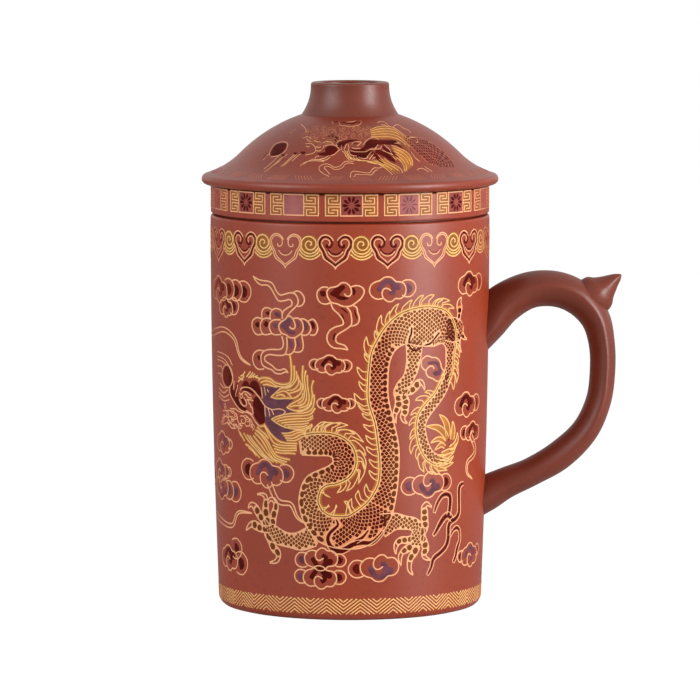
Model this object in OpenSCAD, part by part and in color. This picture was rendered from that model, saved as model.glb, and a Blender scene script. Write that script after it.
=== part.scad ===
// Lidded clay tea mug with a lift-out infuser.
// Every piece turns about the Z axis; the table is at z = 0 and the handle lies towards +X.

/* [Mug] */
// Outside diameter of the mug at its rim
mug_d = 76; // [70:0.5:84]
// Height of the mug's rim above the table
mug_h = 107; // [96:0.2:120]
// Outside diameter of the mug just above its foot
foot_d = 71.8; // [66:0.2:75]
// Thickness of the mug's wall
mug_wall = 3.4; // [2.6:0.1:4]
// Thickness of the mug's floor over the recess
mug_floor = 4.4; // [3:0.2:7]
// Radius of the rounded edge between the wall and the foot
foot_round = 3; // [1:0.25:4]
// Width of the ring that stands on the table
foot_ring_w = 4.2; // [3:0.2:6]
// Depth of the recess inside the foot ring
foot_recess = 1.4; // [0.6:0.1:2.5]
// Radius of the fillet between the wall and the floor inside
floor_fillet = 5; // [2:0.5:8]
// Radius of the softened edges at the rim
rim_round = 0.7; // [0.3:0.1:1]

/* [Infuser collar] */
// Height of the collar that shows between the mug and the lid
collar_h = 8.3; // [7.5:0.1:12]
// Outside diameter of the collar
collar_d = 75.8; // [70:0.2:84]
// Thickness of the collar's wall round the lid's flange
collar_wall = 3.4; // [2.4:0.1:4]
// Thickness of the shelf that the cup hangs from
collar_shelf = 3; // [2.2:0.1:4]

/* [Infuser cup] */
// Free room between the cup and the mouth of the mug, on the radius
cup_gap = 0.9; // [0.6:0.1:2]
// Length of the cup below the collar, floor included
cup_len = 62; // [40:1:80]
// How much narrower the cup is at its floor, on the radius
cup_taper = 2.1; // [1.5:0.1:5]
// Thickness of the cup's wall
cup_wall = 2.8; // [2:0.1:3.6]
// Thickness of the cup's perforated floor
strainer_t = 3; // [2:0.2:4.5]
// Radius of the rounded edge under the cup
strainer_round = 1.8; // [0.6:0.1:1.9]

/* [Strainer holes] */
// Diameter of each hole
hole_d = 1.9; // [1.2:0.1:2.4]
// Rings of holes in the floor round the middle one
hole_rings = 4; // [2:1:4]
// Distance between the rings of the floor
hole_pitch = 5.8; // [4.5:0.1:6.2]
// Rows of holes round the wall
wall_rows = 3; // [1:1:3]
// Holes in each row of the wall
wall_holes = 18; // [8:1:20]
// Distance between the rows of the wall
row_pitch = 5; // [4:0.25:6]
// Height of the lowest row above the strainer's top
first_row = 4; // [3:0.5:8]

/* [Lid] */
// Diameter of the lid's brim
lid_d = 80.8; // [78:0.2:88]
// Thickness of the brim's rounded edge
brim_t = 2.7; // [2:0.1:3.4]
// Slope of the lid where it meets the brim, in degrees
brim_slope = 17; // [12:1:24]
// Steepest slope of the lid, in degrees
dome_slope = 45; // [38:1:50]
// Slope of the lid beside the knob, in degrees
crown_slope = 19; // [12:1:24]
// Diameter of the circle where the lid is steepest
dome_turn_d = 60; // [52:1:64]
// Thickness of the lid, measured upright
lid_t = 3.6; // [2.8:0.1:4.5]

/* [Lid flange] */
// Free room between the flange and the shelf below it
flange_drop_gap = 0.4; // [0.3:0.1:1.5]
// Thickness of the flange
flange_t = 2.6; // [2:0.1:3.4]
// Free room between the flange and the collar, on the radius
flange_gap = 0.7; // [0.4:0.1:1.4]

/* [Knob] */
// Height of the hollow knob
knob_h = 8.8; // [7:0.1:12]
// Diameter of the knob at its top
knob_top_d = 21.3; // [18:0.1:24]
// Diameter of the knob where it stands on the lid
knob_foot_d = 26.4; // [24.5:0.1:30]
// Thickness of the knob's wall at its top
knob_wall = 2.7; // [2:0.1:3.4]

/* [Handle] */
// Height of the middle of the upper root
handle_high = 78; // [70:0.5:82]
// Height of the middle of the lower root
handle_low = 30.8; // [24:0.2:40]
// Distance from the wall to the handle's centre line at its widest
handle_reach = 31; // [24:0.2:36]
// Depth of the handle's section at the grip
grip_depth = 7; // [6:0.1:9]
// Width of the handle's section at the grip
grip_width = 10.6; // [8:0.1:13]
// Length of the pointed thumb rest from the handle's centre line
thumb_len = 13.5; // [11:0.1:16]

/* [Hidden] */
$fn = 96;
clay = [0.60, 0.29, 0.20];
dark_clay = [0.50, 0.25, 0.18];
arc_step = 7.5; // degrees between the points of a rounded edge
wall_steps = 12; // lengths that the wall's curve is drawn with
dome_step = 3; // degrees between the points of the lid's long curves
cut = 1; // how far a cutting tool runs past what it cuts

// ---- levels and radii that several pieces share ----
rim_r = mug_d / 2;
foot_r = foot_d / 2;
mouth_r = rim_r - mug_wall;
floor_z = foot_recess + mug_floor;
collar_top = mug_h + collar_h;
shelf_top = mug_h + collar_shelf;
collar_r = collar_d / 2;
collar_mouth_r = collar_r - collar_wall;
cup_r = mouth_r - cup_gap;
cup_foot_r = cup_r - cup_taper;
cup_bottom = mug_h - cup_len;
strainer_top = cup_bottom + strainer_t;
flange_r = collar_mouth_r - flange_gap;
flange_in_r = flange_r - flange_t;

// ---- curves ----
// Points on an arc round [x, z], from angle a to angle b, at most about step degrees apart
function arc(x, z, r, a, b, step = arc_step) =
    let (n = max(2, ceil(abs(b - a) / step)))
    [for (i = [0:n]) [x + r * cos(a + (b - a) * i / n), z + r * sin(a + (b - a) * i / n)]];

// Outside radius of the mug at height z: upright at the rim and drawn in towards the foot
function wall_r(z) = rim_r - (rim_r - foot_r) * pow((mug_h - z) / (mug_h - foot_round), 2);

// One coordinate of the smooth curve through four neighbouring values, a share u past the second
function between(a, b, c, d, u) =
    0.5 * (2 * b + (c - a) * u + (2 * a - 5 * b + 4 * c - d) * u * u
           + (3 * b - a - 3 * c + d) * u * u * u);

// The row that lies a share t along a list of rows, with every column on a smooth curve
function along(rows, t) =
    let (last = len(rows) - 1, p = t * last, i = min(floor(p), last - 1), u = p - i,
         a = rows[max(i - 1, 0)], b = rows[i], c = rows[i + 1], d = rows[min(i + 2, last)])
    [for (k = [0:len(b) - 1]) between(a[k], b[k], c[k], d[k], u)];

// ---- mug ----
// Outline of the mug's outside, from the foot to the rim
mug_outside = concat(
    [for (p = arc(foot_r - foot_round, foot_round, foot_round, -60, 0))
        [p[0] + (wall_r(foot_round) - foot_r) * p[1] / foot_round, p[1]]],
    [for (i = [1:wall_steps]) let (z = foot_round + (mug_h - rim_round - foot_round) * i / wall_steps)
        [wall_r(z), z]],
    arc(rim_r - rim_round, mug_h - rim_round, rim_round, 15, 90));
ring_out_r = foot_r - foot_round;
ring_in_r = ring_out_r - foot_ring_w;

module mug_body() {
    inside_foot_r = wall_r(floor_z + floor_fillet) - mug_wall;
    inside = concat(
        arc(mouth_r + rim_round, mug_h - rim_round, rim_round, 90, 180),
        [for (i = [1:wall_steps])
            let (top = mug_h - rim_round, low = floor_z + floor_fillet,
                 z = top - (top - low) * i / wall_steps)
            [wall_r(z) - mug_wall, z]],
        arc(inside_foot_r - floor_fillet, floor_z + floor_fillet, floor_fillet, -arc_step, -90));
    underside = [[0, floor_z], [0, foot_recess], [ring_in_r - foot_recess, foot_recess],
                 [ring_in_r, 0], [ring_out_r, 0]];
    color(clay) rotate_extrude() polygon(concat(underside, mug_outside, inside));
}

// ---- handle ----
// Centre line and section of the handle: reach and height as shares, then depth and width as
// shares of the grip's, then the ridge's place from the inner edge as a share of the depth.
// The first and last rows lie inside the wall.
handle_rows = [
    [-0.200, 0.850, 1.45, 1.36, 0.26],
    [-0.035, 0.985, 1.66, 1.36, 0.32],
    [0.130, 1.095, 1.58, 1.28, 0.44],
    [0.350, 1.170, 1.44, 1.20, 0.54],
    [0.580, 1.178, 1.40, 1.14, 0.60],
    [0.780, 1.125, 1.34, 1.10, 0.62],
    [0.930, 1.012, 1.17, 1.05, 0.62],
    [0.990, 0.870, 1.03, 1.00, 0.62],
    [1.000, 0.710, 1.00, 1.00, 0.62],
    [0.965, 0.530, 1.00, 1.00, 0.62],
    [0.845, 0.355, 1.07, 1.00, 0.62],
    [0.625, 0.212, 1.16, 1.00, 0.62],
    [0.375, 0.115, 1.12, 1.00, 0.62],
    [0.150, 0.050, 1.23, 1.08, 0.60],
    [-0.020, -0.010, 1.39, 1.25, 0.58],
    [-0.170, -0.075, 1.30, 1.36, 0.56],
];
handle_turns = 56; // sections along the handle
section_points = 28; // points round one section
section_power = 1.62; // 1 would be a sharp kite, 2 an ellipse
corner_share = 5 / (len(handle_rows) - 1); // place of the handle's upper corner on its line

// [x, z, depth, width, ridge] of the handle a share t along it
function handle_at(t) =
    let (row = along(handle_rows, t))
    [rim_r + handle_reach * row[0], handle_low + (handle_high - handle_low) * row[1],
     grip_depth * row[2], grip_width * row[3], row[4]];

// A value with its size raised to a power and its sign kept
function bent(v, power) = sign(v) * pow(abs(v), power);

// Points of one section: its outer edge looks along the unit vector [nx, nz] from [x, z], and
// it is widest at the share ridge of its depth
function section(x, z, nx, nz, depth, width, ridge) =
    [for (i = [0:section_points - 1])
        let (a = 360 * i / section_points,
             out = bent(cos(a), 2 / section_power)
                   * (cos(a) > 0 ? 1 - ridge : ridge) * depth,
             shift = (ridge - 0.5) * depth)
        [x + nx * (out + shift), bent(sin(a), 2 / section_power) * width / 2, z + nz * (out + shift)]];

// Closed skin over rings that hold the same number of points
module skin(rings) {
    n = len(rings[0]);
    last = len(rings) - 1;
    middle = function(ring) [for (k = [0:2]) [for (p = ring) p[k]] * [for (p = ring) 1] / n];
    points = concat([for (ring = rings) each ring], [middle(rings[0]), middle(rings[last])]);
    sides = [for (j = [0:last - 1]) for (i = [0:n - 1])
        let (a = j * n + i, b = j * n + (i + 1) % n)
        each [[a, b, b + n], [a, b + n, a + n]]];
    ends = [for (i = [0:n - 1])
        each [[(last + 1) * n, (i + 1) % n, i],
              [(last + 1) * n + 1, last * n + i, last * n + (i + 1) % n]]];
    polyhedron(points = points, faces = concat(sides, ends), convexity = 6);
}

module handle_skin() {
    skin([for (j = [0:handle_turns])
        let (t = j / handle_turns, h = handle_at(t),
             ahead = handle_at(min(t + 0.004, 1)), behind = handle_at(max(t - 0.004, 0)),
             dx = ahead[0] - behind[0], dz = ahead[1] - behind[1], size = norm([dx, dz]))
        section(h[0], h[1], -dz / size, dx / size, h[2], h[3], h[4])]);
}

// Everything inside the mug's outer wall
module wall_core() {
    rotate_extrude() polygon(concat([[0, mug_h], [0, 0], [ring_out_r, 0]], mug_outside));
}

module handle() {
    color(dark_clay) difference() {
        handle_skin();
        wall_core();
    }
}

// Centre line of the thumb rest from the handle's upper corner, as shares of its length,
// then its half depth and half width as shares of that length
thumb_rows = [
    [0.10, -0.10, 0.41, 0.37],
    [0.40, 0.10, 0.40, 0.33],
    [0.55, 0.22, 0.265, 0.25],
    [0.70, 0.345, 0.155, 0.17],
    [0.80, 0.42, 0.09, 0.10],
    [0.87, 0.475, 0.02, 0.03],
];
thumb_ridge = 0.5; // place of the thumb rest's ridge, as a share of its depth
thumb_turns = 12; // sections along the thumb rest

module thumb_rest() {
    corner = handle_at(corner_share);
    color(dark_clay) difference() {
        skin([for (j = [0:thumb_turns])
            let (t = j / thumb_turns, row = along(thumb_rows, t) * thumb_len,
                 ahead = along(thumb_rows, min(t + 0.02, 1)),
                 behind = along(thumb_rows, max(t - 0.02, 0)),
                 dx = ahead[0] - behind[0], dz = ahead[1] - behind[1], size = norm([dx, dz]))
            section(corner[0] + row[0], corner[1] + row[1], -dz / size, dx / size,
                    2 * row[2], 2 * row[3], thumb_ridge)]);
        handle_skin();
    }
}

// ---- infuser ----
module infuser_collar() {
    edge = rim_round;
    color(clay) rotate_extrude() polygon(concat(
        [[cup_r - cup_wall, mug_h]],
        arc(collar_r - edge, mug_h + edge, edge, -90, 0),
        arc(collar_r - edge, collar_top - edge, edge, 0, 90),
        arc(collar_mouth_r + edge, collar_top - edge, edge, 90, 180),
        arc(collar_mouth_r - edge, shelf_top + edge, edge, 0, -90),
        arc(cup_r - cup_wall + edge, shelf_top - edge, edge, 90, 180)));
}

// Radius of the cup's outside at height z
function cup_at(z) = cup_r - cup_taper * (mug_h - z) / cup_len;

module infuser_cup() {
    color(clay) difference() {
        rotate_extrude() polygon([
            [cup_r - cup_wall, mug_h], [cup_at(strainer_top) - cup_wall, strainer_top],
            [cup_at(strainer_top), strainer_top], [cup_r, mug_h]]);
        for (row = [0:wall_rows - 1], i = [0:wall_holes - 1])
            translate([0, 0, strainer_top + first_row + row * row_pitch])
                rotate([0, 90, 360 * (i + row / 2) / wall_holes])
                    translate([0, 0, cup_foot_r - cup_wall - cut])
                        cylinder(d = hole_d, h = cup_wall + cup_taper + 2 * cut, $fn = 24);
    }
}

module infuser_strainer() {
    r = cup_at(strainer_top);
    color(clay) difference() {
        rotate_extrude() polygon(concat(
            [[0, strainer_top], [0, cup_bottom]],
            arc(r - strainer_round, cup_bottom + strainer_round, strainer_round, -90, 0),
            [[r, strainer_top]]));
        for (ring = [0:hole_rings], i = [0:max(6 * ring, 1) - 1])
            rotate([0, 0, 60 * i / max(ring, 1)])
                translate([ring * hole_pitch, 0, cup_bottom - cut])
                    cylinder(d = hole_d, h = strainer_t + 2 * cut, $fn = 24);
    }
}

// ---- lid ----
lid_r = lid_d / 2;
turn_r = dome_turn_d / 2;
knob_r = knob_foot_d / 2;
brim_r = brim_t / 2;
brim_x = lid_r - brim_r; // centre of the brim's rounded edge
brim_z = collar_top + brim_r;
lip_r = brim_x + brim_r * sin(brim_slope);
lip_z = brim_z + brim_r * cos(brim_slope);
sweep_r = (lip_r - turn_r) / (sin(dome_slope) - sin(brim_slope)); // radius of the hollow curve
crown_r = (turn_r - knob_r) / (sin(dome_slope) - sin(crown_slope)); // radius of the domed curve
turn_z = lip_z + sweep_r * (cos(brim_slope) - cos(dome_slope));
knob_z = turn_z + crown_r * (cos(crown_slope) - cos(dome_slope));

// The lid's upper curve from the brim to the knob, lowered by drop
function dome_curve(drop) = concat(
    arc(lip_r + sweep_r * sin(brim_slope), lip_z + sweep_r * cos(brim_slope) - drop, sweep_r,
        -90 - brim_slope, -90 - dome_slope, dome_step),
    arc(turn_r - crown_r * sin(dome_slope), turn_z - crown_r * cos(dome_slope) - drop, crown_r,
        90 - dome_slope, 90 - crown_slope, dome_step));

module lid_dome() {
    hollow = [for (p = dome_curve(lid_t)) if (p[0] < flange_in_r) p];
    outside = dome_curve(0);
    color(clay) rotate_extrude() polygon(concat(
        [[0, knob_z - lid_t]],
        [for (i = [len(hollow) - 1:-1:0]) hollow[i]],
        [[flange_in_r, hollow[0][1]], [flange_in_r, collar_top]],
        arc(brim_x, brim_z, brim_r, -90, 90 - brim_slope),
        [for (i = [1:len(outside) - 1]) outside[i]],
        [[0, knob_z]]));
}

module lid_flange() {
    low = shelf_top + flange_drop_gap;
    edge = flange_t / 3;
    color(clay) rotate_extrude() polygon(concat(
        [[flange_in_r, collar_top]],
        arc(flange_in_r + edge, low + edge, edge, 180, 270),
        arc(flange_r - edge, low + edge, edge, -90, 0),
        [[flange_r, collar_top]]));
}

knob_flare = 2.2; // how sharply the knob spreads at its foot
knob_steps = 10; // lengths that the knob's side is drawn with

module knob() {
    top = knob_z + knob_h;
    edge = knob_wall / 4;
    top_r = knob_top_d / 2;
    waist = knob_r - top_r;
    side = [for (i = [0:knob_steps - 1]) let (u = i / knob_steps)
        [top_r + waist * pow(1 - u, knob_flare), knob_z + (knob_h - edge) * u]];
    color(clay) rotate_extrude() polygon(concat(
        side,
        arc(top_r - edge, top - edge, edge, 0, 90),
        arc(top_r - knob_wall + edge, top - edge, edge, 90, 180),
        arc(top_r - knob_wall - edge, knob_z + edge, edge, 0, -90)));
}

mug_body();
handle();
thumb_rest();
infuser_collar();
infuser_cup();
infuser_strainer();
lid_dome();
lid_flange();
knob();
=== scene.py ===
import math

import bmesh
import bpy
import numpy as np
from bpy.props import FloatProperty, FloatVectorProperty, IntProperty, PointerProperty
from mathutils import Euler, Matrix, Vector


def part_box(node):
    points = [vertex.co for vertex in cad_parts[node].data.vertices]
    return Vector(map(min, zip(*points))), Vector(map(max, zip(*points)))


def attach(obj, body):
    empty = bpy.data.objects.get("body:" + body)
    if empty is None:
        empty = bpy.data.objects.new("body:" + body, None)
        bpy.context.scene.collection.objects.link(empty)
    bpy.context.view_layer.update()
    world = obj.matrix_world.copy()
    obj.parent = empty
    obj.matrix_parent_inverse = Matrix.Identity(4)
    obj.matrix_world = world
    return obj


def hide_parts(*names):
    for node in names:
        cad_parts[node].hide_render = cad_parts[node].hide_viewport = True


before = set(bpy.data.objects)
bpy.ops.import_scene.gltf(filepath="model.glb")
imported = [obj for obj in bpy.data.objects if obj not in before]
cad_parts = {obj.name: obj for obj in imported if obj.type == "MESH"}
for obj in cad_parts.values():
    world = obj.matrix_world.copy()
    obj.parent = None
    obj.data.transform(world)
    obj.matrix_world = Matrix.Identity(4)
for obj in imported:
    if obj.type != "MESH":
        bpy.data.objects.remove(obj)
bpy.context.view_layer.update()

bl_info = {
    "name": "Lidded clay tea mug",
    "version": (1, 0, 0),
    "blender": (4, 5, 0),
    "location": "View3D > Sidebar > Tea mug",
    "description": "Dresses a clay tea mug, its infuser and its lid with their clay and enamel work",
    "category": "Add Mesh",
}

# Shapes are worked out in millimetres and put into meshes in metres.
MM = 0.001
TAU = 2 * math.pi


def reach(node):
    """A node's highest corner in millimetres: half its depth across Y, and its top."""
    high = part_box(node)[1]
    return high.y / MM, high.z / MM


RIM_R, MUG_H = reach("mug_body")
COLLAR_R, COLLAR_TOP = reach("infuser_collar")
LID_R, KNOB_Z = reach("lid_dome")
KNOB_R, KNOB_TOP = reach("knob")


# ------------------------------------------------------------------ sizes and colours

def size(name, about, value, unit="mm"):
    return FloatProperty(name=name, description=f"{about}, {unit}", default=value)


def tally(name, about, value):
    return IntProperty(name=name, description=about, default=value)


def paint(name, about, shade):
    return FloatVectorProperty(name=name, description=about, subtype="COLOR", size=3, default=shade)


class MugSizes(bpy.types.PropertyGroup):
    foot_r: size("Foot radius", "Outside radius just above the foot", 35.9)
    wall: size("Wall", "Thickness of the mug's wall", 3.4)
    floor: size("Floor", "Height of the floor inside", 6.6)
    foot_round: size("Foot edge", "Radius of the edge above the foot", 3.0)
    ring_w: size("Foot ring", "Width of the ring that stands down", 4.2)
    recess: size("Recess", "Depth of the recess in the foot", 1.4)
    fillet: size("Fillet", "Radius between wall and floor inside", 5.0)
    edge: size("Rim edge", "Radius of the softened edges", 0.7)
    joint: size("Joint", "Height of the grooves at the collar's joints", 0.55)
    shelf: size("Shelf", "Thickness of the collar's shelf", 3.0)
    collar_wall: size("Collar wall", "Thickness of the collar", 3.4)
    cup_r: size("Cup mouth", "Inside radius where the cup starts", 30.9)


class LidSizes(bpy.types.PropertyGroup):
    brim_t: size("Brim", "Thickness of the brim's round edge", 2.7)
    brim_slope: size("Brim slope", "Slope above the brim", 17.0, "degrees")
    dome_slope: size("Dome slope", "Steepest slope", 45.0, "degrees")
    crown_slope: size("Crown slope", "Slope beside the knob", 19.0, "degrees")
    turn_r: size("Turn", "Radius where the lid is steepest", 30.0)
    thick: size("Thickness", "Thickness measured upright", 3.6)
    flange_r: size("Flange bore", "Inside radius of the flange", 31.2)
    knob_top_r: size("Knob top", "Radius of the knob at its top", 10.65)
    knob_wall: size("Knob wall", "Thickness of the knob's wall", 2.7)
    knob_flare: size("Knob flare", "How sharply the knob spreads", 2.2, "as a power")


class HandleSizes(bpy.types.PropertyGroup):
    high: size("Upper root", "Height of the upper root", 78.0)
    low: size("Lower root", "Height of the lower root", 30.8)
    reach: size("Reach", "From the wall to the centre line", 31.0)
    depth: size("Depth", "Depth of the section at the grip", 7.0)
    width: size("Width", "Width of the section at the grip", 10.6)
    thumb: size("Thumb rest", "Length of the thumb rest", 13.5)
    sunk: size("Sunk", "How far the roots reach into the wall", 1.2)


class EnamelSizes(bpy.types.PropertyGroup):
    line_w: size("Line", "Width of a drawn line", 0.46)
    line_h: size("Line height", "How far a line stands up", 0.05)
    fill_h: size("Fill height", "How far a filled shape stands up", 0.025)
    scale: size("Scale", "Pitch of the dragon's scales", 0.93)
    ruyi_heads: tally("Cloud heads", "Heads in the upper border", 17)
    frets: tally("Frets", "Fret panels round the collar", 15)
    zigzags: tally("Zigzags", "Peaks round the foot border", 25)


class Finish(bpy.types.PropertyGroup):
    clay: paint("Clay", "Fired clay", (0.345, 0.042, 0.011))
    # Painted shade: a darker copy of the clay for the handle and the knob, where less light falls.
    clay_deep: paint("Deep clay", "Clay of the handle and the knob", (0.185, 0.0265, 0.0078))
    clay_pale: paint("Pale clay", "Worn enamel on the lid", (0.58, 0.17, 0.085))
    gold: paint("Gold", "Golden enamel", (1.0, 0.58, 0.20))
    rose: paint("Rose gold", "Paler golden enamel", (1.0, 0.50, 0.25))
    copper: paint("Copper", "Copper enamel of the scales' net", (0.80, 0.257, 0.11))
    # Painted highlight: the net's colour where the lamps' reflections fall.
    copper_pale: paint("Pale copper", "The net where it is thin", (1.0, 0.55, 0.27))
    maroon: paint("Maroon", "Dark enamel", (0.080, 0.004, 0.002))
    # Painted highlight: the scales' colour where the lamps' reflections fall.
    brown: paint("Brown", "The scales where they are thin", (0.24, 0.070, 0.018))
    purple: paint("Purple", "Dusty purple enamel", (0.150, 0.045, 0.065))
    bronze: paint("Bronze", "Ground under the frets", (0.33, 0.105, 0.010))
    ochre: paint("Ochre", "Golden enamel where it is thin", (0.48, 0.155, 0.018))
    mauve: paint("Mauve", "Pale dusty enamel", (0.40, 0.125, 0.115))
    wine: paint("Wine", "Red-brown enamel ground", (0.31, 0.066, 0.052))


class Studio(bpy.types.PropertyGroup):
    distance: FloatProperty(name="Distance", description="Camera to the mug's axis", default=1.55, unit="LENGTH")
    eye: FloatProperty(name="Eye", description="Height of the camera", default=0.223, unit="LENGTH")
    aim: FloatProperty(name="Aim", description="Height that the camera looks at", default=0.06965, unit="LENGTH")
    lens: size("Lens", "Focal length on a 36 mm sensor", 293.3)
    right_lamp: FloatProperty(name="Right lamp", description="Power of the right lamp", default=7.0, unit="POWER")
    left_lamp: FloatProperty(name="Left lamp", description="Power of the left lamp", default=4.1, unit="POWER")
    sky: FloatProperty(name="Sky", description="Strength of the light from all round", default=0.112)
    sheen: FloatProperty(name="Sheen", description="Strength of the surroundings in the clay's gloss", default=0.85)


GROUPS = {"mug_sizes": MugSizes, "lid_sizes": LidSizes, "handle_sizes": HandleSizes,
          "enamel_sizes": EnamelSizes, "mug_finish": Finish, "mug_studio": Studio}


# ------------------------------------------------------------------ curves

def points_of(text):
    """Points written as text: commas part the numbers of a point, and spaces part the points."""
    return [tuple(float(number) for number in point.split(",")) for point in text.split()]


def paths_of(text):
    """Paths of points written as text, with slashes between them."""
    return [points_of(path) for path in text.split("/")]


def arc(x, z, radius, start, end, step=5.0):
    """Points on a circle round (x, z), from one angle to another in degrees: centre + radius (cos, sin)."""
    pieces = max(2, math.ceil(abs(end - start) / step))
    turn = np.radians(np.linspace(start, end, pieces + 1))
    return np.stack([x + radius * np.cos(turn), z + radius * np.sin(turn)], -1)


def bow(at, radius, half, wide=1.0):
    """Points on an arc that hangs below its centre, half degrees to each side of straight down."""
    turn = np.radians(np.linspace(-90 - half, -90 + half, 14))
    return np.stack([at[0] + radius * np.cos(turn) * wide, at[1] + radius * np.sin(turn)], -1)


def ring_points(s, z, wide, high, number=24):
    """Points round a whole ellipse: centre + (wide cos, high sin)."""
    turn = np.linspace(0, TAU, number, endpoint=False)
    return np.stack([s + wide * np.cos(turn), z + high * np.sin(turn)], -1)


def curve(points, steps=8, closed=False):
    """Smooth curve through the points: Catmull-Rom, a cubic between each two points that leaves each one
    along the line that joins its neighbours."""
    p = np.asarray(points, float)
    if closed:
        p = np.concatenate([p[-1:], p, p[:2]])
    else:
        p = np.concatenate([2 * p[:1] - p[1:2], p, 2 * p[-1:] - p[-2:-1]])
    a, b, c, d = (p[i:len(p) - 3 + i, None] for i in range(4))
    u = np.linspace(0, 1, steps, endpoint=False)[None, :, None]
    out = 0.5 * (2 * b + (c - a) * u + (2 * a - 5 * b + 4 * c - d) * u**2 + (3 * b - a - 3 * c + d) * u**3)
    out = out.reshape(-1, p.shape[1])
    return out if closed else np.concatenate([out, p[-2:-1]])


def even(path, step):
    """The same path with its points a step apart, measured along it."""
    path = np.asarray(path, float)
    along = np.concatenate([[0], np.cumsum(np.linalg.norm(np.diff(path, axis=0), axis=1))])
    where = np.linspace(0, along[-1], max(2, int(along[-1] / step) + 1))
    return np.stack([np.interp(where, along, path[:, k]) for k in range(path.shape[1])], -1)


def spiral(at, radius, turns, start, hand=1, inner=0.1, number=40):
    """Spiral that winds in from its radius to a share of it: r falls evenly as the angle grows."""
    t = np.linspace(0, 1, number)
    angle = np.radians(start) + hand * TAU * turns * t
    r = radius * (1 - (1 - inner) * t)
    return np.stack([at[0] + r * np.cos(angle), at[1] + r * np.sin(angle)], -1)


def placed(points, at=(0, 0), scale=1.0, flip=(1, 1)):
    """Points mirrored, sized and moved."""
    return np.asarray(points, float) * flip * scale + at


def left_of(paths, closed=False):
    """Unit vectors to the left of each point of the paths, longer at a corner so that a line keeps its width."""
    step = np.diff(paths, axis=-2, append=paths[..., :1, :] if closed else paths[..., -1:, :])
    if not closed:
        step[..., -1, :] = step[..., -2, :]
    length = np.linalg.norm(step, axis=-1, keepdims=True)
    step = step / np.maximum(length, 1e-9)
    side = np.stack([-step[..., 1], step[..., 0]], -1)
    before = np.roll(side, 1, axis=-2)
    if not closed:
        before[..., 0, :] = side[..., 0, :]
    both = side + before
    both /= np.maximum(np.linalg.norm(both, axis=-1, keepdims=True), 1e-9)
    return both / np.clip((both * side).sum(-1, keepdims=True), 0.55, 1)


def cornered(points, at=(0, 0), flip=(1, 1), step=0.35):
    """The path with points along its straight sides, and two close points at each corner to keep it sharp."""
    p = placed(points, at, flip=flip)
    parts = []
    for a, b in zip(p[:-1], p[1:]):
        n = max(3, int(np.linalg.norm(b - a) / step))
        share = np.concatenate([[0.0], np.linspace(0, 1, n)[1:-1]])
        parts.append(a + (b - a) * share[:, None])
    return np.concatenate([*parts, p[-1:]])


# ------------------------------------------------------------------ outlines of the clay pieces

def wall_r(z):
    """Outside radius of the mug at a height: rim less a square of the share of the way down to the foot."""
    g = bpy.context.scene.mug_sizes
    return RIM_R - (RIM_R - g.foot_r) * ((MUG_H - z) / (MUG_H - g.foot_round)) ** 2


def upright(outside, top, low, number=60):
    """Points down a curved wall whose radius at each height is given by a function."""
    z = np.linspace(top, low, number)
    return np.stack([outside(z), z], -1)


def mug_outline():
    """Closed outline of the mug: underside, outer wall, rim, inner wall and floor."""
    g = bpy.context.scene.mug_sizes
    ring_out = g.foot_r - g.foot_round
    ring_in = ring_out - g.ring_w
    foot = arc(ring_out, g.foot_round, g.foot_round, -60, 0)
    foot[:, 0] += (wall_r(g.foot_round) - g.foot_r) * foot[:, 1] / g.foot_round
    inner_low = g.floor + g.fillet
    inner_r = wall_r(inner_low) - g.wall
    return np.concatenate([
        [[0, g.floor], [0, g.recess], [ring_in - g.recess, g.recess], [ring_in, 0], [ring_out, 0]],
        foot, upright(wall_r, g.foot_round, MUG_H - g.edge)[1:],
        arc(RIM_R - g.edge, MUG_H - g.edge, g.edge, 10, 90),
        arc(RIM_R - g.wall + g.edge, MUG_H - g.edge, g.edge, 90, 180),
        upright(lambda z: wall_r(z) - g.wall, MUG_H - g.edge, inner_low)[1:],
        arc(inner_r - g.fillet, inner_low, g.fillet, -5, -90)])


# Depth of the dark grooves at the collar's two joints.
GROOVE = 2.4


def collar_outline():
    """Closed outline of the infuser's collar: a joint groove, side, a groove again, top, mouth, shelf and the
    cup's mouth."""
    g = bpy.context.scene.mug_sizes
    e, r, mouth, shelf = g.edge, g.edge / 2, COLLAR_R - g.collar_wall, MUG_H + g.shelf
    low, high, deep = MUG_H + g.joint, COLLAR_TOP - g.joint, COLLAR_R - GROOVE
    return np.concatenate([
        [[g.cup_r, MUG_H], [deep, MUG_H], [deep, low]], arc(COLLAR_R - r, low + r, r, -90, 0),
        upright(lambda z: 0 * z + COLLAR_R, low + r, high - r, 4)[1:-1],
        arc(COLLAR_R - r, high - r, r, 0, 90), [[deep, high], [deep, COLLAR_TOP]],
        arc(mouth + e, COLLAR_TOP - e, e, 90, 180),
        arc(mouth - e, shelf + e, e, 0, -90), arc(g.cup_r + e, shelf - e, e, 90, 180)])


def dome_curve(drop=0.0):
    """The lid's upper curve from the brim in to the knob, lowered by drop: a hollow arc that steepens up to
    the turn and a domed arc that eases again, which meet there at the same slope."""
    g = bpy.context.scene.lid_sizes
    sin, cos = (lambda a: math.sin(math.radians(a))), (lambda a: math.cos(math.radians(a)))
    r = g.brim_t / 2
    lip_r, lip_z = LID_R - r + r * sin(g.brim_slope), COLLAR_TOP + r + r * cos(g.brim_slope)
    sweep = (lip_r - g.turn_r) / (sin(g.dome_slope) - sin(g.brim_slope))
    crown = (g.turn_r - KNOB_R) / (sin(g.dome_slope) - sin(g.crown_slope))
    turn_z = lip_z + sweep * (cos(g.brim_slope) - cos(g.dome_slope))
    hollow = arc(lip_r + sweep * sin(g.brim_slope), lip_z + sweep * cos(g.brim_slope) - drop, sweep,
                 -90 - g.brim_slope, -90 - g.dome_slope, 1.0)
    domed = arc(g.turn_r - crown * sin(g.dome_slope), turn_z - crown * cos(g.dome_slope) - drop, crown,
                90 - g.dome_slope, 90 - g.crown_slope, 1.0)
    return np.concatenate([hollow, domed[1:]])


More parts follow.
